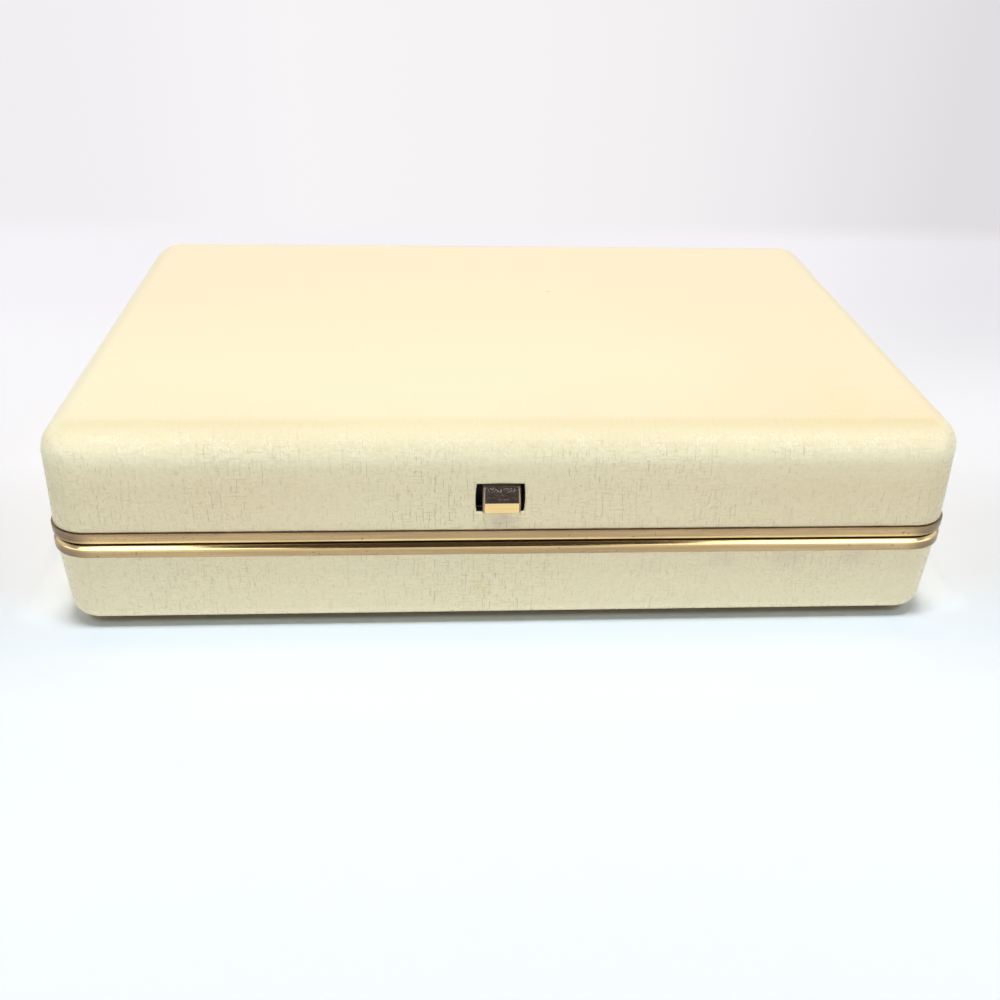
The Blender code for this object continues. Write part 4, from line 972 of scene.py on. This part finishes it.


# the table as the eye meets it, by depth, with painted soft shade beside the case and painted dimming to
# the rear, and the backdrop, by direction from the camera, with painted shading darker to the right
studio = {
    "bounce": (0.93, 0.94, 0.96, 1), "rightShade": 0.87, "warm": (0.62, 0.52, 0.4, 1),
    "cool": (0.885, 0.935, 0.985, 1), "sideLift": 0.8, "tableSize": 6.0,
    "table": [
        (-0.235, (0.905, 0.94, 0.967)), (-0.185, (0.917, 0.95, 0.962)), (-0.13, (0.875, 0.912, 0.935)),
        (-0.1, (0.78, 0.84, 0.89)), (-0.066, (0.757, 0.763, 0.777)), (-0.028, (0.776, 0.776, 0.787)),
        (0.02, (0.85, 0.841, 0.865)), (0.15, (0.847, 0.832, 0.855)), (0.21, (0.817, 0.794, 0.824)),
        (0.345, (0.79, 0.767, 0.79))],
    "backdrop": [
        (-0.34, (0.885, 0.86, 0.89)), (-0.25, (0.896, 0.87, 0.896)), (-0.11, (0.93, 0.913, 0.926)),
        (0.06, (0.914, 0.896, 0.9)), (0.22, (0.888, 0.871, 0.88)), (0.31, (0.85, 0.828, 0.85)),
        (0.38, (0.805, 0.785, 0.81)), (0.48, (0.748, 0.725, 0.753))],
    "edge": (0.315, 0.375), "skyShare": 0.2, "skyTone": (0.96, 0.98, 1.0, 1),
    "horizon": 0.62, "sky": 0.12, "mirrored": 0.8, "mirroredSky": 0.85, "windows": 1.9,
    "lamps": {
        "topLamp": ((0.0, -0.2, 1.1), (0.38, 0.13), 10.0),
        "frontLamp": ((0.0, -0.78, 1.05), (1.8, 0.5), 6.8)}, "aim": (0, 0, 0.04),
    "cardTone": (0.05, 0.034, 0.03, 1),
    "cards": {
        "cardAbove": ((-0.215, -0.95, 0.55), (0.205, -0.22, 0.552)),
        "cardBehind": ((-0.13, -0.62, 0.1), (0.12, -0.618, 0.5))},
}


def stagePiece(name, bm, finish):
    piece = addObject(name, meshOf(name, bm, finish))
    return piece


def makeTable():
    bm = bmesh.new()
    bmesh.ops.create_grid(bm, x_segments=8, y_segments=8, size=studio["tableSize"])
    n = newFinish("tablePaper", Roughness=0.6, Specular_IOR_Level=0.2)
    here, seen = n.place(), n.seen()
    x, y, z = n.split(here)
    faint = n.times(n.less(n.noise(here, 2.2, 2), 0.5), 0.04)
    beyond = n.remap(n.math("ADD", y, faint), *studio["edge"])
    aside = n.math("DIVIDE", n.less(x, view["place"][0]), n.most(n.less(y, view["place"][1]), 0.05))
    right = n.times(n.remap(aside, 0.28, 0.55), n.remap(y, 0.05, 0.17))
    near = n.vector("SCALE", n.ramp(y, studio["table"]), n.line(right, studio["rightShade"] - 1, 1))
    # round the case's outline, painted light and shade: its shadow lifted beside its sides, a cool painted
    # shade in front, and warm painted shade under its edge, in the leather's colour
    outside, sideways = n.outline(x, y)
    lift = n.times(sideways, n.remap(outside, -0.001, 0.02, studio["sideLift"], 0),
                   n.between(y, (-0.094, -0.076), (-0.065, -0.03)))
    near = n.vector("SCALE", near, n.math("ADD", lift, 1))
    cool = n.times(n.less(1, sideways), n.remap(outside, 0.002, 0.016, 1, 0))
    shadeUnder = n.remap(outside, -0.0065, -0.0041, 1, 0)
    for share, tint in ((cool, studio["cool"]), (shadeUnder, studio["warm"])):
        near = n.mix(share, near, n.mix(1, near, tint, "MULTIPLY"))
    # what the eye meets evens out the lamp's fall away from its foot, and keeps the shadow
    lampX, lampY, lampZ = studio["lamps"]["topLamp"][0]
    away = n.vector("DISTANCE", here, (lampX, lampY, 0))
    fall = n.math("POWER", n.math("ADD", n.times(away, away, 1 / lampZ ** 2), 1), -2.0)
    even = n.math("DIVIDE", 1, n.line(fall, 1 - studio["skyShare"], studio["skyShare"]))
    n.link(n.mix(seen, studio["bounce"], n.vector("SCALE", near, even)), "Base Color")
    far = n.add("Emission", {0: n.ramp(aside, studio["backdrop"]), 1: 1.0}).outputs[0]
    paper = n.tree.nodes["Principled BSDF"].outputs[0]
    n.surface(n.add("MixShader", {0: n.times(beyond, seen), 1: paper, 2: far}).outputs[0])
    stagePiece("table", bm, n.finish)


def makeCard(name, low, high):
    # what the metal mirrors in front of the case: a dark card that only reflections meet
    n = newFinish(name)
    n.surface(n.add("Emission", {0: studio["cardTone"], 1: 1.0}).outputs[0])
    card = stagePiece(name, plainBlock(Vector(low), Vector(high)), n.finish)
    card.visible_camera = card.visible_diffuse = card.visible_shadow = False
    card.visible_transmission = card.visible_volume_scatter = False


def makeWorld():
    world = bpy.data.worlds.new("studio")
    bpy.context.scene.world = world
    world.use_nodes = True
    n = Nodes(world)
    sky = n.tree.nodes["Background"]
    sky.inputs["Color"].default_value = studio["skyTone"]
    side, ahead, rise = n.split(n.add("TexCoord").outputs["Generated"])
    soft = n.remap(rise, 0.42, 0.6, studio["horizon"], studio["sky"])
    # metal meets a bright horizon, and windows to the left and right behind the camera
    mirror = n.add("LightPath").outputs["Is Glossy Ray"]
    glint = n.times(n.between(rise, (0.1, 0.25), (0.5, 0.7)), mirror)
    beside = n.most(n.remap(side, -0.07, -0.22), n.remap(side, 0.17, 0.32))
    windows = n.times(beside, n.remap(ahead, 0, -0.2), n.remap(rise, 0.6, 0.75, 1, 0))
    bright = n.line(windows, studio["windows"], studio["mirroredSky"])
    mirrored = n.line(glint, bright, studio["mirrored"])
    n.tree.links.new(n.line(n.seen(), n.less(mirrored, soft), soft), sky.inputs["Strength"])


def makeLamp(name, place, size, power):
    data = bpy.data.lights.new(name, "AREA")
    data.shape = "RECTANGLE"
    data.size, data.size_y = size
    data.energy = power
    lamp = addObject(name, data)
    lamp.location = place
    lamp.rotation_euler = (Vector(studio["aim"]) - lamp.location).to_track_quat("-Z", "Y").to_euler()
    # the front lamp only glints, the top lamp only lights
    lamp.visible_diffuse = name == "topLamp"
    lamp.visible_glossy = name == "frontLamp"


makeTable()
for name, (low, high) in studio["cards"].items():
    makeCard(name, low, high)
makeWorld()
for name, settings in studio["lamps"].items():
    makeLamp(name, *settings)
print("studio made")
